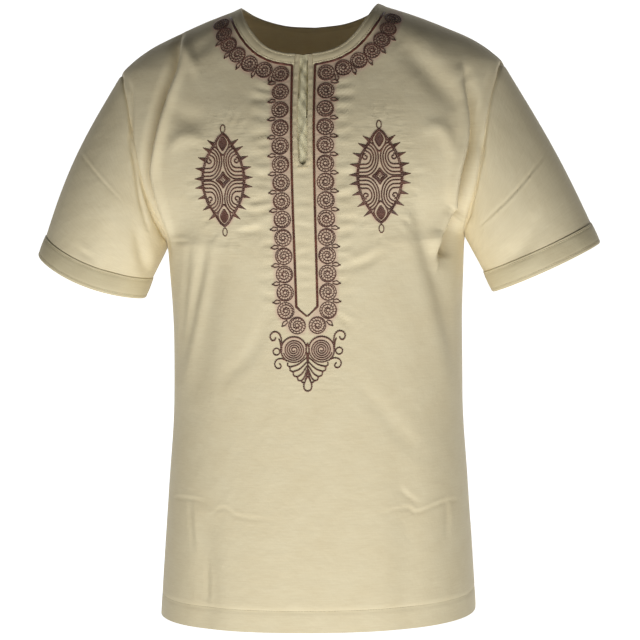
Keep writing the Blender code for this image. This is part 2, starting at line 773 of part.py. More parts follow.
# What lies on the front
class Surface:
    """The outside of a panel, to lay other pieces on."""

    def __init__(self, piece):
        rows, columns = piece.points.shape[:2]
        points = [Vector(p) for p in piece.points.reshape(-1, 3)]
        faces = []
        for row in range(rows - 1):
            for column in range(columns - 1):
                low = row * columns + column
                high = low + columns
                if (points[low] - points[high + 1]).length < (points[low + 1] - points[high]).length:
                    faces.extend([(low, low + 1, high + 1), (low, high + 1, high)])
                else:
                    faces.extend([(low, low + 1, high), (low + 1, high + 1, high)])
        self.tree = BVHTree.FromPolygons(points, faces)
        normals = [Vector(n) for n in piece.normals.reshape(-1, 3)]
        self.normals = [sum((normals[i] for i in face), Vector()).normalized() for face in faces]

    def nearest(self, point):
        """The nearest place on the panel, and the panel's normal there."""
        spot, _, face, _ = self.tree.find_nearest(Vector(point))
        return np.array(spot), np.array(self.normals[face])

    def from_front(self, across, drop):
        """The place on the panel that shows at this place from the front."""
        start = Vector((float(across), -400.0, -float(drop)))
        spot, _, face, _ = self.tree.ray_cast(start, Vector((0.0, 1.0, 0.0)))
        if spot is None:
            return self.nearest((across, -60.0, -drop))
        return np.array(spot), np.array(self.normals[face])


def lay(surface, grid, lift, cloth, direct=False):
    """Lay a grid of points on a panel: given from the front, or near it in space if direct.

    The underside lies lift above the panel, and more where it would cut into a bend of it.
    """
    points = np.zeros((*grid.shape[:2], 3))
    normals = np.zeros(points.shape)
    for place in np.ndindex(*grid.shape[:2]):
        if direct:
            spot, normal = surface.nearest(grid[place])
        else:
            spot, normal = surface.from_front(*grid[place])
        points[place] = spot + normal * lift
        normals[place] = normal
    if lift > 0:
        for _ in range(3):
            points = points + normals * shortfall(surface, points, lift)[..., None]
    return points + normals * cloth, normals


def shortfall(surface, points, lift):
    """How much higher each point must lie for the cells between them to clear the panel."""
    lack = np.zeros(points.shape[:2])
    for row in range(points.shape[0] - 1):
        for column in range(points.shape[1] - 1):
            cell = points[row : row + 2, column : column + 2]
            for up in (0.0, 0.25, 0.5, 0.75, 1.0):
                edge = cell[0] * (1 - up) + cell[1] * up
                for across in (0.0, 0.25, 0.5, 0.75, 1.0):
                    spot = edge[0] * (1 - across) + edge[1] * across
                    place, normal = surface.nearest(spot)
                    need = 0.75 * lift - float((spot - place) @ normal)
                    corner = lack[row : row + 2, column : column + 2]
                    lack[row : row + 2, column : column + 2] = np.maximum(corner, need)
    return lack


def add_laid(name, surface, grid, cloth, material, collection, direct=False, lift=LIFT):
    """A thin piece laid on a panel: its outside lies lift plus its cloth above the panel."""
    points, normals = lay(surface, grid, lift, cloth, direct)
    sheet = sheet_mesh(points, False)
    return finish_wall(sheet, -normals * cloth, name, material, collection)


def along_neck(piece, facing, distances, first=0.0):
    """Places on the left half of a panel along its neckline: a row for each distance from it.

    They run from a column near the centre to the shoulder seam, on the panel's own columns.
    """
    middle = piece.points.shape[1] // 2
    last = NECK_COLUMNS[facing]
    rows = []
    for distance in distances:
        share = distance / NECK_ROW
        edge = piece.points[-1, middle:] if facing == FRONT else piece.points[-1, middle::-1]
        next_row = piece.points[-2, middle:] if facing == FRONT else piece.points[-2, middle::-1]
        line = edge + share * (next_row - edge)
        line[last] += 0.12 * (1 - share) * (edge[last - 1] - edge[last])
        start = int(first)
        begin = line[start] + (first - start) * (line[start + 1] - line[start])
        end = edge[last] + share * (edge[last + 1] - edge[last])
        rows.append(np.concatenate([[begin], line[start + 1 : last + 1], [end]]))
    return np.array(rows)


def on_front(surface, rows):
    """Points on the front panel from their places as seen from the front."""
    return np.array([surface.from_front(row[0], row[1])[0] for row in rows])


def rosette_line():
    """The centres of the left chain's rosettes, from the shoulder round to the slit's foot."""
    rows = [(row.across, row.drop) for row in CHAIN_TOP]
    start = CHAIN_TOP[-1]
    for step in range(1, CHAIN_COLUMN_ROSETTES):
        share = step / (CHAIN_COLUMN_ROSETTES - 1)
        across = start.across + share * (CHAIN_END.across - start.across)
        rows.append((across, start.drop + share * (CHAIN_END.drop - start.drop)))
    rows.append((CHAIN_FOOT.across, CHAIN_FOOT.drop))
    return np.array(rows)


def rosette_chain(surface, side):
    """A ribbon with one scallop for each rosette of a chain."""
    centres = on_front(surface, rosette_line() * (side, 1))
    steps = np.diff(centres, axis=0)
    steps = np.concatenate([steps[:1], steps, steps[-1:]])
    edges = ([], [])
    for number, centre in enumerate(centres):
        along = steps[number] + steps[number + 1]
        along = along / np.linalg.norm(along)
        outward = np.cross(surface.nearest(centre)[1], along)
        for at, width in ROSETTE_OUTLINE:
            pitch = np.linalg.norm(steps[number + (at > 0)])
            place = centre + along * at * pitch
            edges[0].append(place + outward * width * ROSETTE_RADIUS)
            edges[1].append(place - outward * width * ROSETTE_RADIUS)
    return np.array(edges)


def satin_line(surface, piece, side):
    """The satin line along half the neck band and down one side of the placket."""
    inner = NECK_BAND_WIDTH + SEAM_GAP
    near, far = (inner, inner + SATIN_LINE_WIDTH)
    neck = along_neck(piece, FRONT, (near, far), first=1.5)[:, ::-1] * (side, 1, 1)
    top = NECKLINES[FRONT][0].drop
    drops = np.linspace(top + inner + SATIN_LINE_WIDTH / 2, PLACKET_END_DROP, 23)
    half = SATIN_LINE_WIDTH / 2
    edges = []
    for edge, start in ((-half, top + near), (half, top + far)):
        across = SATIN_LINE_ACROSS + edge - 1.2 * (drops - drops[0]) / (drops[-1] - drops[0])
        places = np.stack([across, drops], axis=1)
        places[0, 1] = start
        foot = (PLACKET_END_DROP + PLACKET_TIP_DROP) / 2
        turned = (SATIN_LINE_ACROSS / 2 + edge * 0.8, foot + edge * 0.6)
        tip = (0.45, PLACKET_TIP_DROP + edge)
        edges.append(np.concatenate([places, [turned, tip]]) * (side, 1))
    placket = np.array([on_front(surface, edge) for edge in edges])
    return np.concatenate([neck, placket], axis=1)


def binding(side):
    """One slit binding, as seen from the front: from the neckline to just past the slit."""
    top = NECKLINES[FRONT][0].drop + SEAM_GAP
    drops = np.linspace(SLIT_END_DROP + 3.0, top, 18)
    inner = np.maximum(slit_half_width(drops), SEAM_GAP)
    grid = [[(edge, drop) for edge in (x, x + BINDING_WIDTH)] for x, drop in zip(inner, drops)]
    grid = np.array(grid) * (side, 1)
    return grid if side > 0 else grid[:, ::-1]


def medallion_half_width(height):
    """Half the width of a medallion at a height from -1 at its foot to 1 at its head."""
    shape = np.clip(1 - np.abs(height) ** 1.75, 0, 1) ** 0.9
    return 1.4 + (MEDALLION_WIDTH / 2 - 1.4) * shape


def add_medallion(name, surface, side, material, collection):
    """A spindle with a cross inside, laid on the chest: four openings show the cloth."""
    heights = np.array(MEDALLION_ROWS)
    places = np.array(MEDALLION_COLUMNS)
    across = MEDALLION_ACROSS * side + np.outer(medallion_half_width(heights), places)
    drops = MEDALLION_DROP - np.outer(heights, np.full(len(places), MEDALLION_HEIGHT / 2))
    points, normals = lay(surface, np.stack([across, drops], axis=2), LIFT, THREAD)
    sheet = sheet_mesh(points, False)
    place = sheet.verts.layers.int["place"]
    holes = []
    for face in sheet.faces:
        spots = [divmod(vert[place], len(places)) for vert in face.verts]
        height = abs(np.mean([heights[row] for row, _ in spots]))
        width = abs(np.mean([places[column] for _, column in spots]))
        if 0.12 < height < 0.7 and 0.2 < width < 0.75:
            holes.append(face)
    bmesh.ops.delete(sheet, geom=holes, context="FACES")
    return finish_wall(sheet, -normals * THREAD, name, material, collection)


def add_heart(surface, material, collection):
    """A heart-shaped band laid below the placket."""
    turns = np.linspace(0, 2 * np.pi, HEART_POINTS, endpoint=False) + np.pi / HEART_POINTS
    across = np.sin(turns) ** 3
    rise = 13 * np.cos(turns) - 5 * np.cos(2 * turns) - 2 * np.cos(3 * turns) - np.cos(4 * turns)
    rise = (rise + 2.5) / 14.5
    rings = []
    for scale in (HEART_INNER, 1.0):
        ring = np.stack([across * HEART_HALF_WIDTH, -rise * HEART_HALF_HEIGHT], axis=1) * scale
        rings.append(ring + (0.0, HEART_DROP))
    grid = np.array(rings)[:, ::-1]
    points, normals = lay(surface, grid, LIFT, THREAD)
    sheet = sheet_mesh(points, True)
    return finish_wall(sheet, -normals * THREAD, "heart_motif", material, collection)


def thickness_grid(piece):
    """The wall of a body panel, point by point: thicker in the turned hem."""
    rows = np.full(piece.points.shape[0], CLOTH)
    rows[:2] = HEM_CLOTH
    return np.repeat(rows[:, None], piece.points.shape[1], axis=1)


def main():
    """Cut, hang and sew the shirt."""
    clear_scene()
    shirt = bpy.data.collections.new("embroidered_shirt")
    bpy.context.scene.collection.children.link(shirt)
    materials = {row.name: fabric(row.name, row.colour, row.roughness) for row in FABRICS}

    front = Piece(panel_points(FRONT))
    back = Piece(panel_points(BACK))
    sleeve_left = Piece(sleeve_points(LEFT_SLEEVE), wraps=True)
    sleeve_right = Piece(mirrored(sleeve_points(RIGHT_SLEEVE)), wraps=True)
    cuff_left = Piece(cuff_points(LEFT_SLEEVE), wraps=True)
    cuff_right = Piece(mirrored(cuff_points(RIGHT_SLEEVE)), wraps=True)
    pieces = [front, back, sleeve_left, sleeve_right, cuff_left, cuff_right]
    hang(pieces, {FRONT: FRONT_FOLDS, BACK: BACK_FOLDS})

    add_front(front, thickness_grid(front), materials["front_cloth"], shirt)
    add_wall("back_panel", back, thickness_grid(back), materials["back_cloth"], shirt)
    add_wall("sleeve_left", sleeve_left, CLOTH, materials["left_sleeve_cloth"], shirt)
    add_wall("sleeve_right", sleeve_right, CLOTH, materials["right_sleeve_cloth"], shirt)
    add_wall("cuff_band_left", cuff_left, CUFF_CLOTH, materials["left_cuff_cloth"], shirt)
    add_wall("cuff_band_right", cuff_right, CUFF_CLOTH, materials["right_cuff_cloth"], shirt)

    chest = Surface(front)
    nape = Surface(back)
    band = materials["band_cloth"]
    edges = (NECK_BAND_WIDTH, 0.0)
    middle = front.points.shape[1] // 2
    spacing = front.points[-1, middle + 1, 0] - front.points[-1, middle, 0]
    first = (SLIT_TOP_WIDTH / 2 + BINDING_WIDTH + SEAM_GAP) / spacing
    half = along_neck(front, FRONT, edges, first)
    add_laid("neck_band_left", chest, half, BAND_CLOTH, band, shirt, direct=True)
    half = mirrored(along_neck(front, FRONT, edges, first))
    add_laid("neck_band_right", chest, half, BAND_CLOTH, band, shirt, direct=True)
    half = along_neck(back, BACK, edges)
    whole = np.concatenate([half[:, :0:-1] * (-1, 1, 1), half], axis=1)
    add_laid("neck_band_back", nape, whole, BAND_CLOTH, band, shirt, direct=True)

    binding_cloth = materials["binding_cloth"]
    add_laid("slit_binding_left", chest, binding(1), BAND_CLOTH, binding_cloth, shirt)
    add_laid("slit_binding_right", chest, binding(-1), BAND_CLOTH, binding_cloth, shirt)
    drops = np.linspace(SLIT_END_DROP + 7.0, NECKLINES[FRONT][0].drop + 1.0, 18)
    strip = np.array([[(x, drop) for x in (-10.0, -3.5, 3.5, 11.0)] for drop in drops])
    behind = -(CLOTH + LIFT + FACING_CLOTH)
    facing_cloth = materials["facing_cloth"]
    add_laid("slit_facing", chest, strip, FACING_CLOTH, facing_cloth, shirt, lift=behind)

    thread = materials["brown_thread"]
    satin = materials["russet_thread"]
    for side, name in ((1, "left"), (-1, "right")):
        chain = rosette_chain(chest, side)
        add_laid("rosette_chain_" + name, chest, chain, THREAD, thread, shirt, direct=True)
        line = satin_line(chest, front, side)
        add_laid("satin_line_" + name, chest, line, THREAD, satin, shirt, direct=True)
        add_medallion("medallion_" + name, chest, side, thread, shirt)
    add_heart(chest, thread, shirt)


if __name__ == "__main__":
    main()
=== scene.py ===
"""The looks of an embroidered short-sleeved tunic shirt, filled out with nobody in it.

The cloth is remade as fine sheets on the same figure and from the same cut as the solids that it
stands for, with folds, seams, hems and small puckers. The embroidery is laid on it as raised
strokes of thread. Sizes are in millimetres and become metres where a mesh is made. The front looks
along -Y, left is the wearer's left, +X, and the origin is where the shoulders hold the shirt.
"""

import logging
import math
from contextlib import contextmanager
from dataclasses import dataclass, field
from enum import Enum
from typing import NamedTuple

import bpy
import numpy as np
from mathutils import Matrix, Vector
from mathutils.bvhtree import BVHTree

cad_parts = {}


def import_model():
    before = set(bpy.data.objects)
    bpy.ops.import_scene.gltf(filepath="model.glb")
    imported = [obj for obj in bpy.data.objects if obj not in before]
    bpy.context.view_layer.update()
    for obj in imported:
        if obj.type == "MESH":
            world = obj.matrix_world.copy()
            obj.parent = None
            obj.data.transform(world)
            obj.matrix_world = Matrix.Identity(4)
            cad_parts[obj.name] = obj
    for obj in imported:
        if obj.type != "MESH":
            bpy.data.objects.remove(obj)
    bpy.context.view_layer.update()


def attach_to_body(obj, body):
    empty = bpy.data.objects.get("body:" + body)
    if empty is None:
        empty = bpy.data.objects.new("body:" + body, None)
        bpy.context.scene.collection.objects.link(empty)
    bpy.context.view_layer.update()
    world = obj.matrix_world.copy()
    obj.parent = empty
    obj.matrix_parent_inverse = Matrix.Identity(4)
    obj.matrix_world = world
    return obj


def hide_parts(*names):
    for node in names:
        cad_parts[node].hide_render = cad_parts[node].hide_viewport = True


MM = 0.001
BODY = "root"
MEDALLION_ACROSS = 90.5
MEDALLION_DROP = 206.0
log = logging.getLogger("embroidered_shirt")
Tree = bpy.types.NodeTree
Socket = bpy.types.NodeSocket


class Facing(Enum):
    """Which side of the wearer a piece of cloth is on."""

    FRONT = 1
    BACK = -1


class Side(Enum):
    """The wearer's left or right."""

    LEFT = 1
    RIGHT = -1

    @property
    def word(self) -> str:
        """The side's name as the nodes have it."""
        return self.name.lower()


# Reading the tables
def read_table(keys: tuple, values: tuple, at: np.ndarray) -> np.ndarray:
    """Read a table smoothly between its rows, with no overshoot.

    Args:
        keys: The places of the rows, rising.
        values: The value of each row.
        at: Where to read.

    Returns:
        The values there.
    """
    keys = np.asarray(keys, float)
    values = np.asarray(values, float)
    step = np.diff(keys)
    rise = np.diff(values) / step
    slope = np.zeros(len(keys))
    before = 2 * step[1:] + step[:-1]
    after = step[1:] + 2 * step[:-1]
    for row in range(1, len(keys) - 1):
        if rise[row - 1] * rise[row] > 0:
            weights = before[row - 1] / rise[row - 1] + after[row - 1] / rise[row]
            slope[row] = (before[row - 1] + after[row - 1]) / weights
    slope[0] = rise[0]
    slope[-1] = rise[-1]
    at = np.clip(np.asarray(at, float), keys[0], keys[-1])
    row = np.clip(np.searchsorted(keys, at, side="right") - 1, 0, len(keys) - 2)
    t = (at - keys[row]) / step[row]
    return (
        values[row] * (1 + 2 * t) * (1 - t) ** 2
        + values[row + 1] * t**2 * (3 - 2 * t)
        + slope[row] * step[row] * t * (1 - t) ** 2
        - slope[row + 1] * step[row] * t**2 * (1 - t)
    )


def smooth_step(t: np.ndarray) -> np.ndarray:
    """0 to 1 with level ends."""
    t = np.clip(t, 0.0, 1.0)
    return t * t * (3 - 2 * t)


def refine(values: np.ndarray, steps: list, breaks: tuple) -> np.ndarray:
    """Put more rows between the rows of a grid, smooth everywhere but at the breaks.

    Args:
        values: The rows.
        steps: How many rows each interval becomes.
        breaks: The rows where the grid may turn a corner.

    Returns:
        The finer rows.
    """
    last = len(values) - 1
    rows = []
    for row, count in enumerate(steps):
        here, there = values[row], values[row + 1]
        before = 2 * here - there if row == 0 or row in breaks else values[row - 1]
        after = 2 * there - here if row + 1 == last or row + 1 in breaks else values[row + 2]
        for t in np.arange(count) / count:
            curve = 2 * here + (there - before) * t
            curve = curve + (2 * before - 5 * here + 4 * there - after) * t * t
            rows.append((curve + (3 * here - before - 3 * there + after) * t**3) / 2)
    rows.append(values[-1])
    return np.array(rows)


def places(steps: list) -> np.ndarray:
    """The place of every fine row, counted in coarse rows."""
    rows = [row + t / count for row, count in enumerate(steps) for t in range(count)]
    return np.array(rows + [len(steps)], float)


def running(steps: np.ndarray, axis: int = 0) -> np.ndarray:
    """The running total of steps, from 0."""
    return np.insert(np.cumsum(steps, axis=axis), 0, 0.0, axis=axis)


def along(line: np.ndarray) -> np.ndarray:
    """How far along a line each of its points lies."""
    return running(np.linalg.norm(np.diff(line, axis=0), axis=1))


def mean_rows(grid: np.ndarray) -> np.ndarray:
    """How far down a grid each of its rows lies, on average over the columns."""
    return running(np.linalg.norm(np.diff(grid, axis=0), axis=2).mean(axis=1))


def round_rows(grid: np.ndarray) -> np.ndarray:
    """How far along its row each point of a grid lies."""
    return running(np.linalg.norm(np.diff(grid, axis=1), axis=2), axis=1)


def unit(ways: np.ndarray, axis: int = 1) -> np.ndarray:
    """The same directions with a length of 1."""
    return ways / np.linalg.norm(ways, axis=axis, keepdims=True)


def worn(points: np.ndarray) -> np.ndarray:
    """Where the wearer's stance takes points: the shoulders tilt a little and the body swings."""
    points = np.array(points, float)
    points[..., 0] += 10.0 * smooth_step(-points[..., 2] / 450.0)
    points[..., 2] += points[..., 0] * math.tan(math.radians(1.4))
    return points


@dataclass(frozen=True)
class Figure:
    """The general figure that the cloth follows, as level sections below the neck."""

    drops: tuple = (0, 15, 30, 45, 60, 75, 100, 140, 180, 215, 250, 280, 315, 390, 467, 577, 650, 740)
    half_width: tuple = (
        (82.5, 126, 162, 194, 216, 231, 240, 243, 236)
        + (221, 199, 180, 177.5, 174.5, 175, 182, 187, 193)
    )
    front: tuple = (
        (44, 53, 62, 69, 76, 82, 93, 109, 119)
        + (124, 126, 126, 125, 124, 126, 131, 135, 140)
    )
    back: tuple = (
        (54, 64, 73, 80, 87, 93, 102, 112, 116)
        + (117, 115, 112, 110, 106, 108, 114, 119, 125)
    )
    fullness: tuple = (2, 2, 2, 2, 2, 2, 2, 2, 2.05, 2.1, 2.15, 2.2, 2.25, 2.3, 2.3, 2.3, 2.3, 2.3)

    def read(self, column: str, drop: np.ndarray) -> np.ndarray:
        """One column of the sections, read at any drop."""
        return read_table(self.drops, getattr(self, column), drop)

    def point(self, turn: np.ndarray, drop: np.ndarray, facing: Facing) -> np.ndarray:
        """The surface at a turn in degrees from the centre front or back, and at a drop."""
        angle = np.radians(np.asarray(turn, float))
        power = 2 / self.read("fullness", drop)
        sine = np.sin(angle)
        forward = np.cos(angle) * facing.value
        depth = np.where(forward >= 0, self.read("front", drop), self.read("back", drop))
        across = self.read("half_width", drop) * np.sign(sine) * np.abs(sine) ** power
        along = -depth * np.sign(forward) * np.abs(forward) ** power
        return np.stack(np.broadcast_arrays(across, along, -np.asarray(drop, float)), axis=-1)

    def arcs(self, drops: np.ndarray, facing: Facing) -> tuple:
        """Sample turns, and the cloth's reach round the section to each of them, at every drop."""
        turns = np.linspace(0.0, 100.0, 46)
        points = self.point(turns[None, :], np.asarray(drops, float)[:, None], facing)
        return turns, round_rows(points)

    def reach_at(self, turn: np.ndarray, drop: np.ndarray, facing: Facing) -> np.ndarray:
        """How far the cloth reaches round the body from the centre line to a turn."""
        turn, drop = np.broadcast_arrays(turn, drop)
        turns, reaches = self.arcs(drop.ravel(), facing)
        found = [np.interp(t, turns, r) for t, r in zip(turn.ravel(), reaches)]
        return np.array(found).reshape(turn.shape)

    def turn_at(self, reach: np.ndarray, drop: np.ndarray, facing: Facing) -> np.ndarray:
        """The turn at which the cloth has reached this far round the body."""
        reach, drop = np.broadcast_arrays(reach, drop)
        turns, reaches = self.arcs(drop.ravel(), facing)
        found = [np.interp(s, r, turns) for s, r in zip(reach.ravel(), reaches)]
        return np.array(found).reshape(reach.shape)

    def turn_across(self, across: np.ndarray, drop: np.ndarray) -> np.ndarray:
        """The turn at which the body is this far across as seen from the front."""
        share = np.clip(np.asarray(across, float) / self.read("half_width", drop), 0.0, 1.0)
        return np.degrees(np.arcsin(share ** (self.read("fullness", drop) / 2)))

    def turn_of(self, points: np.ndarray, facing: Facing) -> tuple:
        """The turn and drop of the figure's nearest places to points close to it.

        Args:
            points: Points in space.
            facing: The side of the body that they are on.

        Returns:
            Their turns and their drops.
        """
        drop = -points[:, 2]
        power = self.read("fullness", drop) / 2
        forward = points[:, 1] < 0
        depth = np.where(forward, self.read("front", drop), self.read("back", drop))
        across = np.clip(np.abs(points[:, 0]) / self.read("half_width", drop), 0, 1) ** power
        along = np.clip(np.abs(points[:, 1]) / depth, 0, 1) ** power
        along = np.where(forward, along, -along) * facing.value
        turn = np.degrees(np.arctan2(across, along))
        probe = 0.2
        for _ in range(8):
            here = self.point(turn, drop, facing)
            by_turn = (self.point(turn + probe, drop, facing) - here) / probe
            by_drop = (self.point(turn, drop + probe, facing) - here) / probe
            gap = points - here
            for row in range(len(points)):
                ways = np.stack([by_turn[row], by_drop[row]], axis=1)
                step = np.linalg.lstsq(ways, gap[row], rcond=None)[0]
                turn[row] += np.clip(step[0], -6, 6)
                drop[row] = max(0.3, drop[row] + np.clip(step[1], -8, 8))
        return turn, drop


@dataclass(frozen=True)
class Cut:
    """The flat cut of the front and the back, and where its seams lie on the figure."""

    figure: Figure = Figure()
    length: float = 730.0
    neck_half_width: float = 82.5
    shoulder_drop: float = 75.0
    underarm_drop: float = 280.0
    seam_turn: float = 84.0
    hem_depth: float = 25.0
    vent_height: float = 62.0
    vent_spread: float = 7.0
    neck_row: float = 15.6
    slit_end: float = 191.0
    slit_ease: float = 26.0
    scoops: dict = field(default_factory=lambda: {Facing.FRONT: 27.0, Facing.BACK: 30.0})
    neck_columns: dict = field(default_factory=lambda: {Facing.FRONT: 8, Facing.BACK: 6})
    neck_steps: dict = field(default_factory=lambda: {Facing.FRONT: 5, Facing.BACK: 4})
    row_steps: tuple = (8, 2, 8, 8, 14, 14) + (6,) * 6 + (10,) * 6 + (5,) * 7 + (8,)
    shoulder_steps: int = 7
    rows: int = 26
    underarm_row: int = 14
    armhole_rows: int = 12
    shoulder_columns: int = 10
    neck_share: float = 0.36
    bow: float = 2.2
    across: dict = field(
        default_factory=lambda: {
            Facing.FRONT: (0, 20, 38, 53, 64, 74, 82),
            Facing.BACK: (0, 30, 55, 72, 82),
        }
    )
    drops: dict = field(
        default_factory=lambda: {
            Facing.FRONT: (62.0, 60.5, 55.5, 45.0, 32.0, 16.0, 0.0),
            Facing.BACK: (20.0, 18.0, 12.5, 6.0, 0.0),
        }
    )

    def tip_turn(self, facing: Facing) -> float:
        """The turn of the shoulder seam, counted from the centre of this side."""
        return 90 + facing.value * (self.seam_turn - 90)

    def armhole(self, step: np.ndarray, facing: Facing) -> tuple:
        """Turn and drop of the armhole seam, from 0 at the shoulder tip to 1 at the underarm."""
        angle = np.pi * np.asarray(step, float)
        middle = (self.shoulder_drop + self.underarm_drop) / 2
        half = (self.underarm_drop - self.shoulder_drop) / 2
        turn = 90 + (self.tip_turn(facing) - 90) * (1 + np.cos(angle)) / 2
        return turn - self.scoops[facing] * np.sin(angle), middle - half * np.cos(angle)

    def side_drops(self) -> np.ndarray:
        """Drops of the rows of the side seam, from the hem's edge up to the underarm."""
        hem = [self.length, self.length - self.hem_depth, self.length - self.hem_depth - 2]
        count = self.underarm_row - 2
        seam = np.linspace(self.length - self.vent_height, self.underarm_drop, count)
        return np.concatenate([hem, seam])

    def side_edge(self, rows: np.ndarray, facing: Facing) -> tuple:
        """Reach and drop of a panel's side at rows counted from the hem."""
        seam = self.side_drops()
        top = self.underarm_row
        turns, drops = self.armhole(1 - np.clip(rows - top, 0, None) / self.armhole_rows, facing)
        turns = np.where(rows <= top, 90.0, turns)
        drops = np.where(rows <= top, np.interp(rows, np.arange(top + 1), seam), drops)
        reach = self.figure.reach_at(turns, drops, facing)
        if facing is Facing.FRONT:
            vent = (drops - self.length + self.vent_height) / self.vent_height
            reach = reach - self.vent_spread * np.clip(vent, 0, 1)
        return reach, drops

    def centre_edge(self, facing: Facing) -> np.ndarray:
        """Drop of a panel's centre line, row by row, up to the row below the neckline."""
        hem = [self.length, self.length - self.hem_depth]
        lower = np.linspace(hem[1] - 2, self.slit_end, 17)
        top = self.drops[facing][0] + self.neck_row
        return np.concatenate([hem, lower, np.linspace(self.slit_end, top, 8)[1:]])

    def neckline(self, share: np.ndarray, facing: Facing) -> tuple:
        """Turn and drop of the neckline, by share of its length from the centre to the seam."""
        numbers = range(len(self.across[facing]))
        index = np.linspace(0, len(numbers) - 1, 121)
        across = read_table(numbers, self.across[facing], index)
        drop = read_table(numbers, self.drops[facing], index)
        turn = self.figure.turn_across(across, drop)
        turn[-1] = self.tip_turn(facing)
        lengths = along(self.figure.point(turn, drop, facing))
        at = np.asarray(share, float) * lengths[-1]
        return np.interp(at, lengths, turn), np.interp(at, lengths, drop)

    def top_edge(self, columns: np.ndarray, facing: Facing) -> tuple:
        """Turn and drop of a panel's top at columns counted from the centre."""
        corner = self.neck_columns[facing]
        knots = [0, corner - 1, corner]
        share = np.interp(columns, knots, [0, (corner - 1) / (corner + 1), 1])
        neck_turn, neck_drop = self.neckline(share, facing)
        wide = self.figure.read("half_width", self.shoulder_drop)
        second = self.neck_half_width + self.neck_row * 0.945
        knots = [corner, corner + 1, corner + self.shoulder_columns]
        widths = np.interp(columns, knots, [self.neck_half_width, second, wide])
        rows = [row for row, drop in enumerate(self.figure.drops) if drop <= self.shoulder_drop]
        keys = [self.figure.half_width[row] for row in rows]
        seam_drop = read_table(keys, [self.figure.drops[row] for row in rows], widths)
        on_neck = columns < corner
        turn = np.where(on_neck, neck_turn, self.tip_turn(facing))
        return turn, np.where(on_neck, neck_drop, seam_drop)

    def below_top(self, facing: Facing) -> tuple:
        """Reach and drop of the row below a panel's top, at one distance from the whole edge."""
        corner = self.neck_columns[facing]
        turns, drops = self.top_edge(np.arange(corner + self.shoulder_columns + 1.0), facing)
        at = self.figure.point
        line = at(turns, drops, facing)
        round_way = at(turns + 0.5, drops, facing) - at(turns - 0.5, drops, facing)
        low = np.maximum(drops, 0.5)
        down_way = at(turns, low + 0.5, facing) - at(turns, low - 0.5, facing)
        outward = facing.value * np.cross(down_way, round_way)
        steps = np.diff(line, axis=0)
        ways = []
        for step in (np.concatenate([steps[:1], steps]), np.concatenate([steps, steps[-1:]])):
            ways.append(unit(facing.value * np.cross(step, outward)))
        moved = line + unit(ways[0] + ways[1]) * self.neck_row
        moved[corner] = line[corner] + (ways[0][corner] + ways[1][corner]) * self.neck_row
        moved[corner + 2] = line[corner + 2] + ways[1][corner + 2] * self.neck_row
        moved[corner + 1] = 0.6 * moved[corner] + 0.4 * moved[corner + 2]
        turn, drop = self.figure.turn_of(moved, facing)
        turn[0] = 0.0
        drop[0] = drops[0] + self.neck_row
        turn[-1], drop[-1] = self.armhole(1 / self.armhole_rows, facing)
        return self.figure.reach_at(turn, drop, facing), drop

    def half_panel(self, facing: Facing) -> tuple:
        """The left half of a panel as it is cut, finely.

        Args:
            facing: Front or back.

        Returns:
            The reach and the drop of every grid point, from the hem up and the centre out.
        """
        corner = self.neck_columns[facing]
        side_reach, side_drop = self.side_edge(np.arange(float(self.rows)), facing)
        centre_drop = self.centre_edge(facing)
        row_reach, row_drop = self.below_top(facing)
        neck = self.neck_share * np.arange(corner) / corner
        shoulder = np.linspace(self.neck_share, 1.0, self.shoulder_columns + 1)
        share = np.concatenate([neck, shoulder])
        rise = (np.arange(self.rows) / (self.rows - 1)) ** self.bow
        reach = np.outer(side_reach, share) + np.outer(rise, row_reach - share * row_reach[-1])
        drop = centre_drop[:, None] * (1 - share) + side_drop[:, None] * share
        chord = centre_drop[-1] + share * (row_drop[-1] - centre_drop[-1])
        drop = drop + np.outer(rise, row_drop - chord)
        turns, drops = self.top_edge(np.arange(len(share), dtype=float), facing)
        reach = np.concatenate([reach, self.figure.reach_at(turns, drops, facing)[None, :]])
        grid = np.stack([reach, np.concatenate([drop, drops[None, :]])], axis=2)
        column_steps = [self.neck_steps[facing]] * corner
        column_steps += [self.shoulder_steps] * self.shoulder_columns
        grid = refine(grid, self.row_steps, (0, 1, 2, 3, self.underarm_row, self.rows - 1))
        grid = refine(grid.swapaxes(0, 1), column_steps, (corner,)).swapaxes(0, 1)
        turns, drops = self.top_edge(places(column_steps), facing)
        grid[-1, :, 0] = self.figure.reach_at(turns, drops, facing)
        grid[-1, :, 1] = drops
        grid[:, -1] = np.stack(self.side_edge(places(self.row_steps), facing), axis=1)
        if facing is Facing.FRONT:
            half = self.slit_half_width(grid[..., 1])
            eased = half + grid[..., 0] * (1 - half / self.slit_ease)
            grid[..., 0] = np.where(grid[..., 0] < self.slit_ease, eased, grid[..., 0])
        return grid[..., 0], grid[..., 1]

    def slit_half_width(self, drop: np.ndarray) -> np.ndarray:
        """Half the width of the slit in the front, which comes to a point at its end."""
        top = self.drops[Facing.FRONT][0]
        t = np.clip((np.asarray(drop, float) - top) / (self.slit_end - top), 0, 1)
        steps = (0, 0.2, 0.45, 0.7, 0.88, 0.95, 0.985, 1.0)
        return read_table(steps, (9.6, 11.8, 12.4, 12.2, 11.0, 8.8, 5.0, 0.0), t) / 2


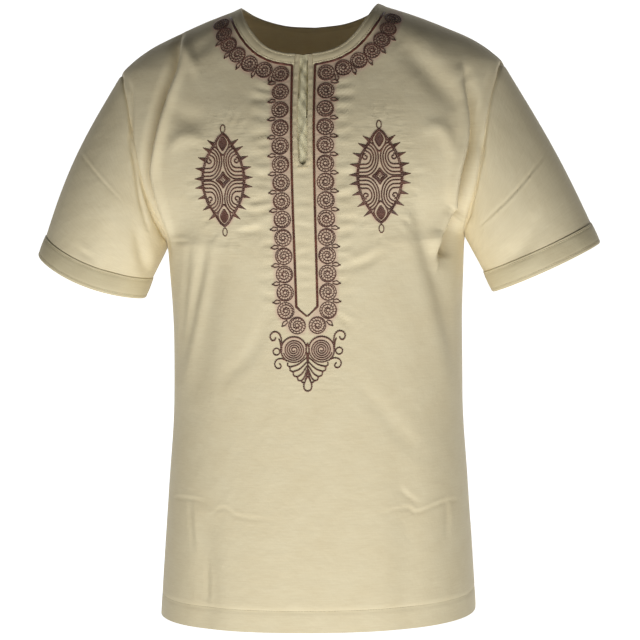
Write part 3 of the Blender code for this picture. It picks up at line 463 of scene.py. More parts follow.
class Fold(NamedTuple):
    """A trough in the cloth along a route of (across, drop) points, or a ridge if depth is negative.

    The cloth sinks by depth over a width to each side. Past the trough, on the side that lies to
    the right of the route seen from the front, it stands proud by lip times the depth, and there
    the trough's wall is steeper: its width is multiplied by steep.
    """

    route: tuple
    depth: float
    width: float
    lip: float = 0.0
    steep: float = 1.0

    def offset(self, across: np.ndarray, drop: np.ndarray) -> np.ndarray:
        """How far this fold moves each point out of the surface.

        Args:
            across: The points' places across the shirt.
            drop: The points' drops below the neck.

        Returns:
            The offsets in millimetres.
        """
        moved = np.zeros(across.shape)
        route = refine(np.array(self.route, float), [6] * (len(self.route) - 1), ())
        low = route.min(axis=0) - 3.5 * self.width
        high = route.max(axis=0) + 3.5 * self.width
        near = (across > low[0]) & (across < high[0]) & (drop > low[1]) & (drop < high[1])
        if not near.any():
            return moved
        place = np.stack([across[near], drop[near]], axis=-1)
        nearest = np.full(len(place), np.inf)
        side = np.zeros(len(place))
        progress = np.zeros(len(place))
        for number, (here, there) in enumerate(zip(route[:-1], route[1:])):
            way = there - here
            gap = place - here
            share = np.clip(gap @ way / (way @ way), 0, 1)
            off = gap - share[:, None] * way
            distance = np.hypot(off[:, 0], off[:, 1])
            closer = distance < nearest
            nearest = np.where(closer, distance, nearest)
            side = np.where(closer, np.sign(way[1] * off[:, 0] - way[0] * off[:, 1]), side)
            progress = np.where(closer, (number + share) / (len(route) - 1), progress)
        swell = np.sin(np.pi * np.clip(progress, 0.02, 0.98)) ** 0.6
        width = np.where(side > 0, self.steep, 1.0) * self.width
        trough = np.exp(-((nearest / width) ** 2))
        crest = (0.7 + self.steep) * self.width
        proud = np.exp(-(((side * nearest - crest) / (0.6 + 0.4 * self.steep) / self.width) ** 2))
        moved[near] = -self.depth * swell * (trough - self.lip * proud)
        return moved


@dataclass(frozen=True)
class Folds:
    """Every fold and crease of the worn cloth, front and back."""

    seed: int = 11
    front: tuple = (
        Fold(
            ((-152, 34), (-155, 70), (-165, 100), (-174, 130), (-182, 161), (-188, 191))
            + ((-186, 214), (-180, 242), (-174, 267), (-171, 290)),
            23.0,
            7.5,
            0.25,
            0.3,
        ),
        Fold(
            ((158, 277), (170, 254), (176, 248), (179, 223), (184, 199), (191, 174), (194, 150))
            + ((193, 126), (186, 92)),
            23.0,
            8.5,
            0.3,
            0.28,
        ),
        Fold(((154, 302), (160, 278), (172, 252)), 22.0, 9, 0.2, 0.35),
        Fold(((-166, 108), (-174, 130), (-182, 161), (-188, 191), (-186, 214), (-180, 242)), 6.5, 2.2),
        Fold(((-180, 242), (-176, 262), (-171, 284)), 6.0, 2.6),
        Fold(((172, 252), (176, 240), (180, 223), (185, 199), (192, 174), (195, 150)), 6.5, 2.3),
        Fold(((-219, 84), (-211, 100), (-211, 156), (-206, 188), (-202, 225), (-196, 262)), 3.4, 2.4),
        Fold(((205, 215), (205, 143), (209, 112), (216, 84)), 2.6, 2.4),
        Fold(((-106, 280), (-118, 350), (-141, 475)), 3.0, 17),
        Fold(((-124, 590), (-120, 665), (-119, 740)), 3.0, 16),
        Fold(((108, 520), (115, 620), (112, 740)), 2.5, 18),
        Fold(((278, 185), (241, 228), (200, 266)), 1.2, 1.7, 0.7, 0.6),
        Fold(((266, 252), (250, 290), (221, 311)), 2.6, 10, 0.3),
        Fold(((-281, 165), (-263, 184), (-249, 199), (-224, 226)), 1.1, 1.7, 0.7, 0.6),
        Fold(((-281, 281), (-272, 289), (-261, 297)), 1.4, 4, 0.4),
        Fold(((-238, 250), (-236, 290), (-246, 330)), 2.4, 11, 0.3),
        Fold(((-160, 168), (-142, 155), (-114, 158)), -3.2, 8),
        Fold(((-158, 118), (-138, 132), (-112, 134)), 2.4, 10),
        Fold(((136, 152), (160, 154), (174, 190)), -3.2, 8),
        Fold(((112, 50), (146, 88), (180, 132)), 4.5, 13, 0.3),
        Fold(((-150, 36), (-138, 58), (-126, 82)), -3.0, 6),
        Fold(((-136, 60), (-118, 44), (-108, 30)), 2.0, 8),
        Fold(((-116, 268), (-139, 354), (-161, 437)), 2.4, 6, 0.5),
        Fold(((-141, 280), (-150, 339), (-165, 432)), 1.6, 5, 0.4),
        Fold(((178, 470), (166, 408), (150, 338), (133, 276), (126, 226)), 3.6, 12, 0.35, 0.7),
        Fold(((46, 428), (95, 489), (126, 529)), 1.0, 9, 0.2),
        Fold(((-45, 359), (-65, 403), (-109, 446)), 1.1, 8, 0.2),
        Fold(((-208, 256), (-206, 288), (-202, 322)), 3.0, 6.5, 0.4),
        Fold(((-166, 278), (-154, 277), (-142, 277)), 0.9, 3, 0.5),
        Fold(((-174, 584), (-144, 580), (-122, 583)), 0.7, 1.9, 0.5),
        Fold(((-114, 594), (-98, 587), (-82, 596), (-38, 600)), 0.6, 2.0, 0.4),
        Fold(((82, 594), (114, 590), (126, 596), (159, 588), (182, 594)), 0.7, 1.9, 0.5),
        Fold(((104, 565), (115, 576), (127, 586)), 0.7, 3.0, 0.4),
        Fold(((-144, 584), (-142, 612), (-139, 642)), 0.9, 3.2, 0.6),
        Fold(((-122, 650), (-121, 676), (-121, 702)), 0.8, 3.2, 0.6),
        Fold(((158, 586), (159, 608), (158, 632)), 0.9, 3.2, 0.6),
        Fold(((45, 310), (68, 304), (86, 293)), 1.8, 5, 0.5),
        Fold(((-80, 267), (-60, 265), (-40, 262)), 1.9, 4.5, 0.6),
        Fold(((-78, 240), (-58, 243), (-40, 240)), 1.2, 4.0, 0.6),
        Fold(((34, 363), (43, 370), (54, 376)), 1.3, 3.2, 0.6),
        Fold(((-89, 138), (-85, 132), (-80, 126)), 0.7, 1.8, 0.5),
    )
    back: tuple = (
        Fold(((-150, 60), (-178, 160), (-172, 300)), 6.0, 13, 0.3),
        Fold(((172, 300), (178, 160), (150, 60)), 6.0, 13, 0.3),
        Fold(((-88, 180), (-78, 420), (-96, 700)), 5.0, 22),
        Fold(((8, 230), (-1, 460), (12, 740)), 4.0, 24),
        Fold(((92, 190), (87, 430), (100, 720)), 5.0, 22),
    )

    def puckers(self) -> list:
        """The small wrinkles that the stitches draw up in the cloth beside the embroidery."""
        chance = np.random.default_rng(self.seed)
        rows = []
        for side in (1, -1):
            drop = 88.0
            while drop < 350:
                start = 35 + chance.uniform(0, 3)
                long = chance.uniform(12, 24) * (1.2 if 100 < drop < 290 else 0.8)
                end = start + long
                lean = chance.uniform(-5, 5)
                middle = (side * (start + end) / 2, drop + lean / 2 + chance.uniform(-1.5, 1.5))
                route = ((side * start, drop), middle, (side * end, drop + lean))
                depth = chance.uniform(0.7, 1.7) * (1.0 if drop < 290 else 0.6)
                rows.append(Fold(route, depth, chance.uniform(3.0, 5.2), 0.6))
                drop += chance.uniform(10, 17)
            for turn in np.linspace(0, 2 * np.pi, 15, endpoint=False):
                turn = turn + chance.uniform(-0.15, 0.15)
                way = np.array([math.sin(turn), math.cos(turn)])
                start = np.array([side * MEDALLION_ACROSS, MEDALLION_DROP]) + way * (31, 66)
                end = start + way * chance.uniform(9, 22) * (1.0, 0.7)
                middle = (start + end) / 2 + chance.uniform(-1.5, 1.5, 2)
                depth = chance.uniform(0.3, 0.7)
                rows.append(Fold((tuple(start), tuple(middle), tuple(end)), depth, 3.0, 0.6))
        drop = 200.0
        while drop < 345:
            lean = chance.uniform(-3, 3)
            middle = (chance.uniform(-3, 3), drop + chance.uniform(-1, 1))
            route = ((-9, drop - lean), middle, (9, drop + lean))
            rows.append(Fold(route, chance.uniform(0.4, 0.9), 2.6, 0.6))
            drop += chance.uniform(9, 20)
        return rows

    def offset(self, points: np.ndarray, facing: Facing) -> np.ndarray:
        """How far all folds of one side move each point out of the surface.

        Args:
            points: Points of the cloth.
            facing: The side whose folds are pressed in.

        Returns:
            The offsets in millimetres.
        """
        rows = self.back if facing is Facing.BACK else [*self.front, *self.puckers()]
        moved = np.zeros(points.shape[:-1])
        for row in rows:
            moved = moved + row.offset(points[..., 0], -points[..., 2])
        return moved


class Cloth:
    """One cut piece as a grid of outer points in rows and columns, with normals and a flat map."""

    def __init__(self, points: np.ndarray, flat: np.ndarray) -> None:
        """Keep the grid.

        Args:
            points: Outer points in rows and columns, in millimetres.
            flat: Where each point lies on the cut piece, in metres. A ring has one column more.
        """
        self.points = np.array(points, float)
        self.flat = np.array(flat, float)
        self.wraps = flat.shape[1] > points.shape[1]
        self.normals = self.fresh_normals()

    def fresh_normals(self) -> np.ndarray:
        """Outward unit normals, from each point's neighbours in both directions."""
        if self.wraps:
            round_way = np.roll(self.points, -1, axis=1) - np.roll(self.points, 1, axis=1)
        else:
            round_way = np.gradient(self.points, axis=1)
        normals = np.cross(round_way, np.gradient(self.points, axis=0))
        size = np.linalg.norm(normals, axis=2, keepdims=True)
        return normals / np.maximum(size, 1e-9)

    def rim(self) -> list:
        """The rows and columns of the grid's outer edges."""
        rows, columns = self.points.shape[:2]
        spots = [(row, column) for row in (0, rows - 1) for column in range(columns)]
        if not self.wraps:
            spots += [(row, column) for row in range(rows) for column in (0, columns - 1)]
        return sorted(set(spots))

    def raise_by(self, height: np.ndarray) -> None:
        """Move every point out along its normal."""
        self.points = self.points + self.normals * np.asarray(height)[..., None]


def share_seam_normals(pieces: list) -> None:
    """Give the points that are sewn together one normal, shorter where the cloths turn sharply."""
    spots = [(number, *spot) for number, piece in enumerate(pieces) for spot in piece.rim()]
    points = np.array([pieces[n].points[row, column] for n, row, column in spots])
    normals = np.array([pieces[n].normals[row, column] for n, row, column in spots])
    touching = 0.05
    for here, (number, row, column) in enumerate(spots):
        near = np.linalg.norm(points - points[here], axis=1) < touching
        if near.sum() > 1:
            mean = normals[near].mean(axis=0)
            size = max(float(np.linalg.norm(mean)), 1e-6)
            pieces[number].normals[row, column] = mean / size * min(1.0, size * 1.3)


def press(pieces: list, folds: Folds) -> None:
    """Press the folds into the sewn cloth."""
    share_seam_normals(pieces)
    for piece in pieces:
        for facing in Facing:
            outward = -facing.value * piece.normals[..., 1]
            share = smooth_step((outward - 0.1) / 0.5)
            piece.raise_by(folds.offset(piece.points, facing) * share)
    for piece in pieces:
        piece.normals = piece.fresh_normals()
    share_seam_normals(pieces)


class Surface:
    """The outside of a panel, to lay other pieces on."""

    def __init__(self, pieces: list) -> None:
        points = []
        normals = []
        faces = []
        for piece in pieces:
            rows, columns = piece.points.shape[:2]
            first = len(points)
            points.extend(Vector(p) for p in piece.points.reshape(-1, 3).tolist())
            normals.extend(piece.normals.reshape(-1, 3).tolist())
            for row in range(rows - 1):
                for column in range(columns - 1):
                    low = first + row * columns + column
                    faces.append((low, low + 1, low + columns + 1, low + columns))
        self.tree = BVHTree.FromPolygons(points, faces)
        self.normals = unit(np.array(normals)[np.array(faces)].sum(axis=1))

    def nearest(self, point: np.ndarray) -> tuple:
        """The nearest place on the panel, and the panel's normal there."""
        spot, _, face, _ = self.tree.find_nearest(Vector(point))
        return np.array(spot), self.normals[face]

    def from_front(self, across: float, drop: float) -> tuple:
        """The place that shows here from the front, and the panel's normal there."""
        start = Vector((float(across), -400.0, -float(drop)))
        spot, _, face, _ = self.tree.ray_cast(start, Vector((0.0, 1.0, 0.0)))
        if spot is None:
            return self.nearest((across, -60.0, -drop))
        return np.array(spot), self.normals[face]

    def spread(self, rows: np.ndarray) -> tuple:
        """Places and normals of points given as (across, drop) from the front."""
        found = [self.from_front(across, drop) for across, drop in rows]
        return np.array([f[0] for f in found]), np.array([f[1] for f in found])

    def about(self, centre: tuple, rows: np.ndarray) -> tuple:
        """Places and normals of points given flat round a centre, as (right, up) seen from outside.

        Args:
            centre: The centre's (across, drop) from the front.
            rows: The flat points.

        Returns:
            Their places on the cloth and the normals there.
        """
        spot, normal = self.from_front(*centre)
        right = np.array([1.0, 0.0, 0.0]) - normal * normal[0]
        right = right / np.linalg.norm(right)
        up = np.cross(right, -normal)
        up = up * (1 if up[2] > 0 else -1)
        found = [self.nearest(spot + right * x + up * y) for x, y in rows]
        return np.array([f[0] for f in found]), np.array([f[1] for f in found])


# Making the meshes
def sheet_object(name: str, points: np.ndarray, flat: np.ndarray) -> bpy.types.Object:
    """Make a sheet: a grid primitive whose points go to their places in the worn garment.

    Args:
        name: The object's name.
        points: The grid's points in millimetres.
        flat: The flat map of the grid in metres, with one column more if the columns close.

    Returns:
        The sheet's object, at the origin.
    """
    wraps = flat.shape[1] > points.shape[1]
    if wraps:
        points = np.concatenate([points, points[:, :1]], axis=1)
    rows, columns = points.shape[:2]
    bpy.ops.object.select_all(action="DESELECT")
    bpy.ops.mesh.primitive_grid_add(x_subdivisions=columns - 1, y_subdivisions=rows - 1, size=2)
    thing = bpy.context.object
    thing.name = name
    mesh = thing.data
    mesh.name = name
    start = np.zeros(len(mesh.vertices) * 3)
    mesh.vertices.foreach_get("co", start)
    start = start.reshape(-1, 3)
    column = np.rint((start[:, 0] + 1) / 2 * (columns - 1)).astype(int)
    row = np.rint((start[:, 1] + 1) / 2 * (rows - 1)).astype(int)
    mesh.vertices.foreach_set("co", (worn(points)[row, column] * MM).ravel())
    corner = np.zeros(len(mesh.loops), int)
    mesh.loops.foreach_get("vertex_index", corner)
    mesh.uv_layers[0].name = "cloth"
    mesh.uv_layers[0].data.foreach_set("uv", flat[row[corner], column[corner]].ravel())
    mark = mesh.attributes.new("place", "INT", "POINT")
    mark.data.foreach_set("value", row * columns + column)
    if wraps:
        merge(thing)
    mesh.update()
    return thing


@contextmanager
def edit_mode(thing: bpy.types.Object):
    """Run what is inside in a thing's edit mode."""
    bpy.context.view_layer.objects.active = thing
    bpy.ops.object.mode_set(mode="EDIT")
    yield
    bpy.ops.object.mode_set(mode="OBJECT")


def merge(thing: bpy.types.Object) -> None:
    """Weld the points that lie on each other."""
    with edit_mode(thing):
        bpy.ops.mesh.select_all(action="SELECT")
        bpy.ops.mesh.remove_doubles(threshold=2e-6)


def grid_places(thing: bpy.types.Object) -> np.ndarray:
    """The place in its grid of each point of a sheet, as row times columns plus column."""
    place = np.zeros(len(thing.data.vertices), int)
    thing.data.attributes["place"].data.foreach_get("value", place)
    return place


def thicken(thing: bpy.types.Object, thickness: float) -> None:
    """Give a sheet its wall inwards and shade it smooth."""
    wall = thing.modifiers.new("wall", "SOLIDIFY")
    wall.thickness = thickness * MM
    wall.offset = -1.0
    bpy.ops.object.modifier_apply(modifier=wall.name)
    bpy.ops.object.shade_smooth_by_angle(angle=math.radians(50))


def attach(thing: bpy.types.Object, material: bpy.types.Material, slot: str, *nodes: str) -> None:
    """Dress a piece, let it ride on the body and hide the nodes that it stands for."""
    thing.data.materials.clear()
    thing.data.materials.append(material)
    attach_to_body(thing, BODY)
    if nodes:
        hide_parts(*nodes)
    log.info("%s: %d faces", thing.name, len(thing.data.polygons))


def sew_on(node: str, points: np.ndarray, flat: np.ndarray, look: tuple, wall: float) -> None:
    """Args:
        node: The node that it stands for.
        points: Its grid in millimetres.
        flat: Its flat map in metres.
        look: Its material and its slot.
        wall: Its thickness.
    """
    thing = sheet_object(f"{node}_cloth", points, flat)
    thicken(thing, wall)
    attach(thing, *look, node)


@dataclass
class Needle:
    """Lays strokes of thread on a surface and makes them one object."""

    surface: Surface
    step: float = 0.62
    sunk: float = 0.45
    roundness: int = 1
    pitch: float = 3.2
    dash_radius: float = 0.3
    strokes: list = field(default_factory=list)

    def even(self, line: np.ndarray, closed: bool = False) -> np.ndarray:
        """The same line with its points evenly spaced."""
        line = np.asarray(line, float)
        if closed:
            line = np.concatenate([line, line[:1]])
        at = along(line)
        count = max(2, int(round(at[-1] / self.step)) + 1)
        return np.stack([np.interp(np.linspace(0, at[-1], count), at, c) for c in line.T], axis=1)

    def keep(self, spots: np.ndarray, normals: np.ndarray, radius: float, bead: float) -> None:
        """Add a stroke at places on the cloth.

        Args:
            spots: Its places on the cloth.
            normals: The cloth's normals there.
            radius: The thread's radius, or a radius for each point.
            bead: The length of one chain stitch, or 0 for a smooth cord.
        """
        radii = np.broadcast_to(np.asarray(radius, float), (len(spots),)).copy()
        if bead:
            radii *= 0.66 + 0.42 * np.abs(np.sin(np.pi * along(spots) / bead))
        self.strokes.append((spots + normals * (self.sunk * radii)[:, None], radii))

    def front(self, line: np.ndarray, radius: float, bead: float = 0, closed: bool = False) -> None:
        """Sew a line given as (across, drop) from the front."""
        spots, normals = self.surface.spread(self.even(line, closed))
        self.keep(spots, normals, radius, bead)

    def flat(self, centre: tuple, line: np.ndarray, radius: float, bead: float = 0) -> None:
        """Sew a line given flat round a centre."""
        spots, normals = self.surface.about(centre, self.even(line))
        self.keep(spots, normals, radius, bead)

    def dashes(self, spots: np.ndarray, normals: np.ndarray) -> None:
        """Sew a row of single stitches along places on the cloth, with its normals there."""
        at = along(spots)
        pitch = self.pitch
        for start in np.arange(pitch * 0.3, at[-1] - pitch, pitch):
            cuts = start + pitch * np.array([0.0, 0.12, 0.36, 0.6, 0.72])
            line = np.stack([np.interp(cuts, at, column) for column in spots.T], axis=1)
            ways = np.stack([np.interp(cuts, at, column) for column in normals.T], axis=1)
            height = np.array([-0.3, 0.1, 0.22, 0.1, -0.3])
            radii = self.dash_radius * np.array([0.5, 0.9, 1.0, 0.9, 0.5])
            self.strokes.append((line + ways * height[:, None], radii))

    def make(self, name: str) -> bpy.types.Object:
        """Turn the strokes into one mesh of round threads, at the origin."""
        curve = bpy.data.curves.new(name, "CURVE")
        curve.dimensions = "3D"
        curve.bevel_depth = MM
        curve.bevel_resolution = self.roundness
        curve.use_fill_caps = True
        for line, radii in self.strokes:
            spline = curve.splines.new("POLY")
            spline.points.add(len(line) - 1)
            weighted = np.concatenate([worn(line) * MM, np.ones((len(line), 1))], axis=1)
            spline.points.foreach_set("co", weighted.ravel())
            spline.points.foreach_set("radius", radii)
        thing = bpy.data.objects.new(name, curve)
        bpy.context.collection.objects.link(thing)
        bpy.ops.object.select_all(action="DESELECT")
        bpy.context.view_layer.objects.active = thing
        thing.select_set(True)
        bpy.ops.object.convert(target="MESH")
        thing = bpy.context.object
        thing.name = name
        bpy.ops.object.shade_smooth()
        return thing


# Finishes
def linear(colour: str) -> tuple:
    """An sRGB hex colour as the linear colour that a shader takes."""
    channels = [int(colour[at : at + 2], 16) / 255 for at in (0, 2, 4)]
    return (*(c / 12.92 if c <= 0.04045 else ((c + 0.055) / 1.055) ** 2.4 for c in channels), 1.0)


def add_node(tree: bpy.types.NodeTree, kind: str, inputs: dict = None, **settings) -> bpy.types.Node:
    """Add a shader node.

    Args:
        tree: The material's nodes.
        kind: The node's type.
        inputs: Values or other nodes' outputs, by input.
        settings: The node's own settings.

    Returns:
        The node.
    """
    new = tree.nodes.new(kind)
    for name, value in settings.items():
        setattr(new, name, value)
    for name, value in (inputs or {}).items():
        if isinstance(value, bpy.types.NodeSocket):
            tree.links.new(value, new.inputs[name])
        else:
            new.inputs[name].default_value = value
    return new


def ramp(tree: bpy.types.NodeTree, value: bpy.types.NodeSocket, stops: tuple) -> bpy.types.Node:
    """Add a colour ramp with sRGB hex stops."""
    new = add_node(tree, "ShaderNodeValToRGB", {"Fac": value})
    for number, (at, colour) in enumerate(stops):
        band = new.color_ramp.elements
        stop = band[number] if number < 2 else band.new(at)
        stop.position = at
        stop.color = linear(colour)
    return new


def noise(tree: Tree, at: Socket, scale: float, detail: float, **more: float) -> Socket:
    """Add a noise texture and give the socket of its value."""
    inputs = {"Vector": at, "Scale": scale, "Detail": detail, **more}
    return add_node(tree, "ShaderNodeTexNoise", inputs).outputs["Fac"]


def stretched(tree: Tree, at: Socket, scale: tuple) -> Socket:
    """Add a mapping with this scale and give the socket of its vector."""
    inputs = {"Vector": at, "Scale": scale}
    return add_node(tree, "ShaderNodeMapping", inputs).outputs["Vector"]


def marked(tree: Tree, name: str) -> Socket:
    """Read a mark that the mesh has on its points and give the socket of its value."""
    return add_node(tree, "ShaderNodeAttribute", attribute_name=name).outputs["Fac"]


def blend(tree: Tree, share: float, first: Socket, second: Socket | float) -> Socket:
    """Mix two values and give the socket of the result."""
    inputs = {"Factor": share, "A": first, "B": second}
    return add_node(tree, "ShaderNodeMix", inputs, data_type="FLOAT").outputs["Result"]


def product(tree: Tree, first: Socket, second: Socket | float) -> Socket:
    """Multiply two values and give the socket of the result."""
    return add_node(tree, "ShaderNodeMath", {0: first, 1: second}, operation="MULTIPLY").outputs["Value"]


def bumps(tree: Tree, layers: tuple) -> Socket:
    """Add bumps, one over the other, and give the socket of the last normal.

    Args:
        tree: The material's nodes.
        layers: The height's socket, the strength and the distance in metres of each bump.

    Returns:
        The normal's socket.
    """
    below = {}
    for height, strength, distance in layers:
        inputs = {"Height": height, "Strength": strength, "Distance": distance, **below}
        below = {"Normal": add_node(tree, "ShaderNodeBump", inputs).outputs["Normal"]}
    return below["Normal"]


def plain_material(name: str, **inputs) -> bpy.types.Material:
    """A new material whose shader has these values, with _ for each space in an input's name."""
    material = bpy.data.materials.new(name)
    material.use_nodes = True
    shader = material.node_tree.nodes["Principled BSDF"]
    for key, value in inputs.items():
        shader.inputs[key.replace("_", " ")].default_value = value
    return material


def wire(
    material: bpy.types.Material, colour: bpy.types.Node, normal: Socket
) -> bpy.types.Material:
    """Join a colour node and a normal's socket to a material's shader."""
    tree = material.node_tree
    shader = tree.nodes["Principled BSDF"]
    tree.links.new(colour.outputs["Color"], shader.inputs["Base Color"])
    tree.links.new(normal, shader.inputs["Normal"])
    return material


@dataclass(frozen=True)
class CottonSateen:
    """Satin-woven cotton, mercerised: smooth, with a soft sheen and faint slubs along the weft."""

    name: str
    low: str = "DCCDA8"
    high: str = "E5D9B7"
    lint: str = "D3B69F"
    roughness: float = 0.66
    sheen: float = 0.25
    # Sateen has about 40 threads to the centimetre, too fine to show at this distance, so the
    # floats are drawn at four times their width.
    float_mm: float = 0.95
    slub_mm: float = 1.3

    def make(self) -> bpy.types.Material:
        """Build the material on the piece's own flat map, which is in metres."""
        material = plain_material(
            self.name,
            Roughness=self.roughness,
            Specular_IOR_Level=0.35,
            Sheen_Weight=self.sheen,
            Sheen_Roughness=0.45,
            Sheen_Tint=linear("FFF6E0"),
        )
        tree = material.node_tree
        flat = add_node(tree, "ShaderNodeUVMap", uv_map="cloth").outputs["UV"]
        slub_scale = (1 / (self.slub_mm * MM * 14), 1 / (self.slub_mm * MM), 1)
        slub = noise(tree, stretched(tree, flat, slub_scale), 1.0, 3.0)
        tone = blend(tree, 0.45, slub, noise(tree, flat, 26.0, 4.0))
        plain = ramp(tree, tone, ((0.3, self.low), (0.7, self.high))).outputs["Color"]
        # The lint of the threads tints the cloth under the embroidery.
        tint = {"Fac": product(tree, marked(tree, "blush"), 0.8), "Color1": plain}
        colour = add_node(tree, "ShaderNodeMixRGB", {**tint, "Color2": linear(self.lint)})
        waves = {"Vector": flat, "Scale": 0.314 / (self.float_mm * MM), "Distortion": 1.2}
        waves.update({"Detail": 1.0, "Detail Scale": 2.0})
        weave = add_node(tree, "ShaderNodeTexWave", waves, bands_direction="DIAGONAL").outputs["Fac"]
        ripple = noise(tree, stretched(tree, flat, (34.0, 150.0, 1.0)), 1.0, 2.0)
        pull = product(tree, ripple, marked(tree, "pucker"))
        rumple = noise(tree, flat, 55.0, 3.0, Roughness=0.55)
        layers = ((pull, 1.0, 0.001), (rumple, 0.5, 0.0014), (slub, 0.15, 0.0002), (weave, 0.25, 0.00008))
        return wire(material, colour, bumps(tree, layers))


@dataclass(frozen=True)
class RayonThread:
    """Twisted rayon embroidery thread: dark, with a silky gloss."""

    name: str
    low: str
    high: str
    roughness: float = 0.42

    def make(self) -> bpy.types.Material:
        """Build the material on Object coordinates."""
        material = plain_material(
            self.name, Roughness=self.roughness, Specular_IOR_Level=0.5, Sheen_Weight=0.15
        )
        tree = material.node_tree
        at = add_node(tree, "ShaderNodeTexCoord").outputs["Object"]
        # The plies are 0.3 mm across.
        twist = noise(tree, at, 1100.0, 2.0)
        tone = blend(tree, 0.5, twist, noise(tree, at, 90.0, 2.0))
        colour = ramp(tree, tone, ((0.35, self.low), (0.65, self.high)))
        return wire(material, colour, bumps(tree, ((twist, 0.5, 0.0002),)))


@dataclass
class Sewn:
    """The cloth of the whole shirt, cut, sewn and pressed, before it is made into meshes."""

    cut: Cut = Cut()
    folds: Folds = Folds()
    cuff_centre: tuple = (276.0, -2.0, -318.0)
    cuff_half_width: float = 70.0
    cuff_half_depth: float = 56.0
    cuff_slope: float = 23.5
    cuff_depth: float = 26.0
    sleeve_rows: int = 80
    seam_depth: float = 2.3
    seam_width: float = 1.9
    bulge: dict = field(default_factory=lambda: {Side.LEFT: 5.0, Side.RIGHT: 9.0})
    sag: dict = field(default_factory=lambda: {Side.LEFT: 1.5, Side.RIGHT: 8.0})

    def panel(self, facing: Facing) -> Cloth:
        """One body panel, both halves, seen from outside."""
        reach, drop = self.cut.half_panel(facing)
        turn = self.cut.figure.turn_at(reach, drop, facing)
        left = self.ease(self.cut.figure.point(turn, drop, facing))
        flat = np.stack([reach, -drop], axis=2) * MM
        skip = 0 if facing is Facing.FRONT else 1
        right = left[:, skip:][:, ::-1] * (-1, 1, 1)
        points = np.concatenate([right, left], axis=1)
        flat = np.concatenate([flat[:, skip:][:, ::-1] * (-1, 1), flat], axis=1)
        if facing is Facing.BACK:
            points, flat = points[:, ::-1], flat[:, ::-1]
        return Cloth(points, flat)

    def ease(self, points: np.ndarray) -> np.ndarray:
        """Let the cloth span the sudden change of width under the arm, away from its side."""
        drop = -points[..., 2]
        level = np.zeros(drop.shape)
        total = 0.0
        spread = 34.0
        for shift in np.arange(-60.0, 61.0, 10.0):
            weight = math.exp(-((shift / spread) ** 2))
            for column in range(drop.shape[1]):
                down = drop[::-1, column]
                depth = points[::-1, column, 1]
                level[:, column] += weight * np.interp(drop[:, column] + shift, down, depth)
            total += weight
        inside = smooth_step((points[:, -1:, 0] - 3 - points[..., 0]) / 36.0)
        inside = inside * smooth_step((drop - 150) / 60) * smooth_step((420 - drop) / 60)
        eased = points.copy()
        eased[..., 1] += inside * (level / total - points[..., 1])
        return eased

    def cuff_ring(self, angles: np.ndarray, up: float, sag: float) -> np.ndarray:
        """A ring of the left cuff, from its outer end past the front, this far up from its edge."""
        slope = math.radians(self.cuff_slope)
        outward = np.array([math.cos(slope), 0.0, math.sin(slope)])
        down = np.array([math.sin(slope), 0.0, -math.cos(slope)])
        ring = np.array(self.cuff_centre) - up * down
        ring = ring + self.cuff_half_width * np.outer(np.cos(angles), outward)
        ring = ring + self.cuff_half_depth * np.outer(np.sin(angles), (0.0, -1.0, 0.0))
        return ring + sag * np.outer(np.clip(np.sin(angles), 0, 1) ** 2, down)

    def rings(self) -> tuple:
        """The fine steps down the front half of the armhole, and the angles of a whole ring."""
        top = self.cut.underarm_row
        rows = places(self.cut.row_steps)[-1 - sum(self.cut.row_steps[top:]) :]
        front = 1 - (rows[::-1] - top) / self.cut.armhole_rows
        return front, np.pi * np.concatenate([front[:-1], 2 - front[::-1][:-1]])

    def sleeve(self, side: Side) -> Cloth:
        """One sleeve, in rings from the armhole to the cuff's seam."""
        front, angles = self.rings()
        at = self.cut.figure.point
        start = at(*self.cut.armhole(front[:-1], Facing.FRONT), Facing.FRONT)
        behind = at(*self.cut.armhole(front[::-1][:-1], Facing.BACK), Facing.BACK)
        start = np.concatenate([start, behind])
        end = self.cuff_ring(angles, self.cuff_depth, self.sag[side])
        full = (1 - ((1 - np.cos(angles)) / 2) ** 3)[:, None]
        rings = []
        ends = ([0.0, 0.006, 0.013, 0.022], [0.972, 0.982, 0.99, 0.996, 1.0])
        steps = np.concatenate([ends[0], np.linspace(0.034, 0.96, self.sleeve_rows), ends[1]])
        for step in steps:
            ring = (1 - step) * start + step * end
            away = unit(ring - ring.mean(axis=0))
            rings.append(ring + self.bulge[side] * math.sin(math.pi * step) * full * away)
        return self.ring_cloth(np.array(rings), side)

    def cuff(self, side: Side) -> Cloth:
        """One cuff band, in rings from its seam to its edge."""
        _, angles = self.rings()
        down = (0, 0.25, 0.7, 1.3, 2.2, 3.2, 4.4, 7, 10, 13, 16, 19, 21.6, 22.8, 24, 25, 26)
        ups = self.cuff_depth - np.array(down)
        rings = [self.cuff_ring(angles, up, self.sag[side]) for up in ups]
        return self.ring_cloth(np.array(rings), side)

    def ring_cloth(self, points: np.ndarray, side: Side) -> Cloth:
        """A tube of cloth on one side, with its flat map."""
        if side is Side.RIGHT:
            points = (points * (-1, 1, 1))[:, ::-1]
        closed = np.concatenate([points, points[:, :1]], axis=1)
        across = round_rows(closed)
        down = np.broadcast_to(-mean_rows(closed)[:, None], across.shape)
        return Cloth(points, np.stack([across, down], axis=2) * MM)

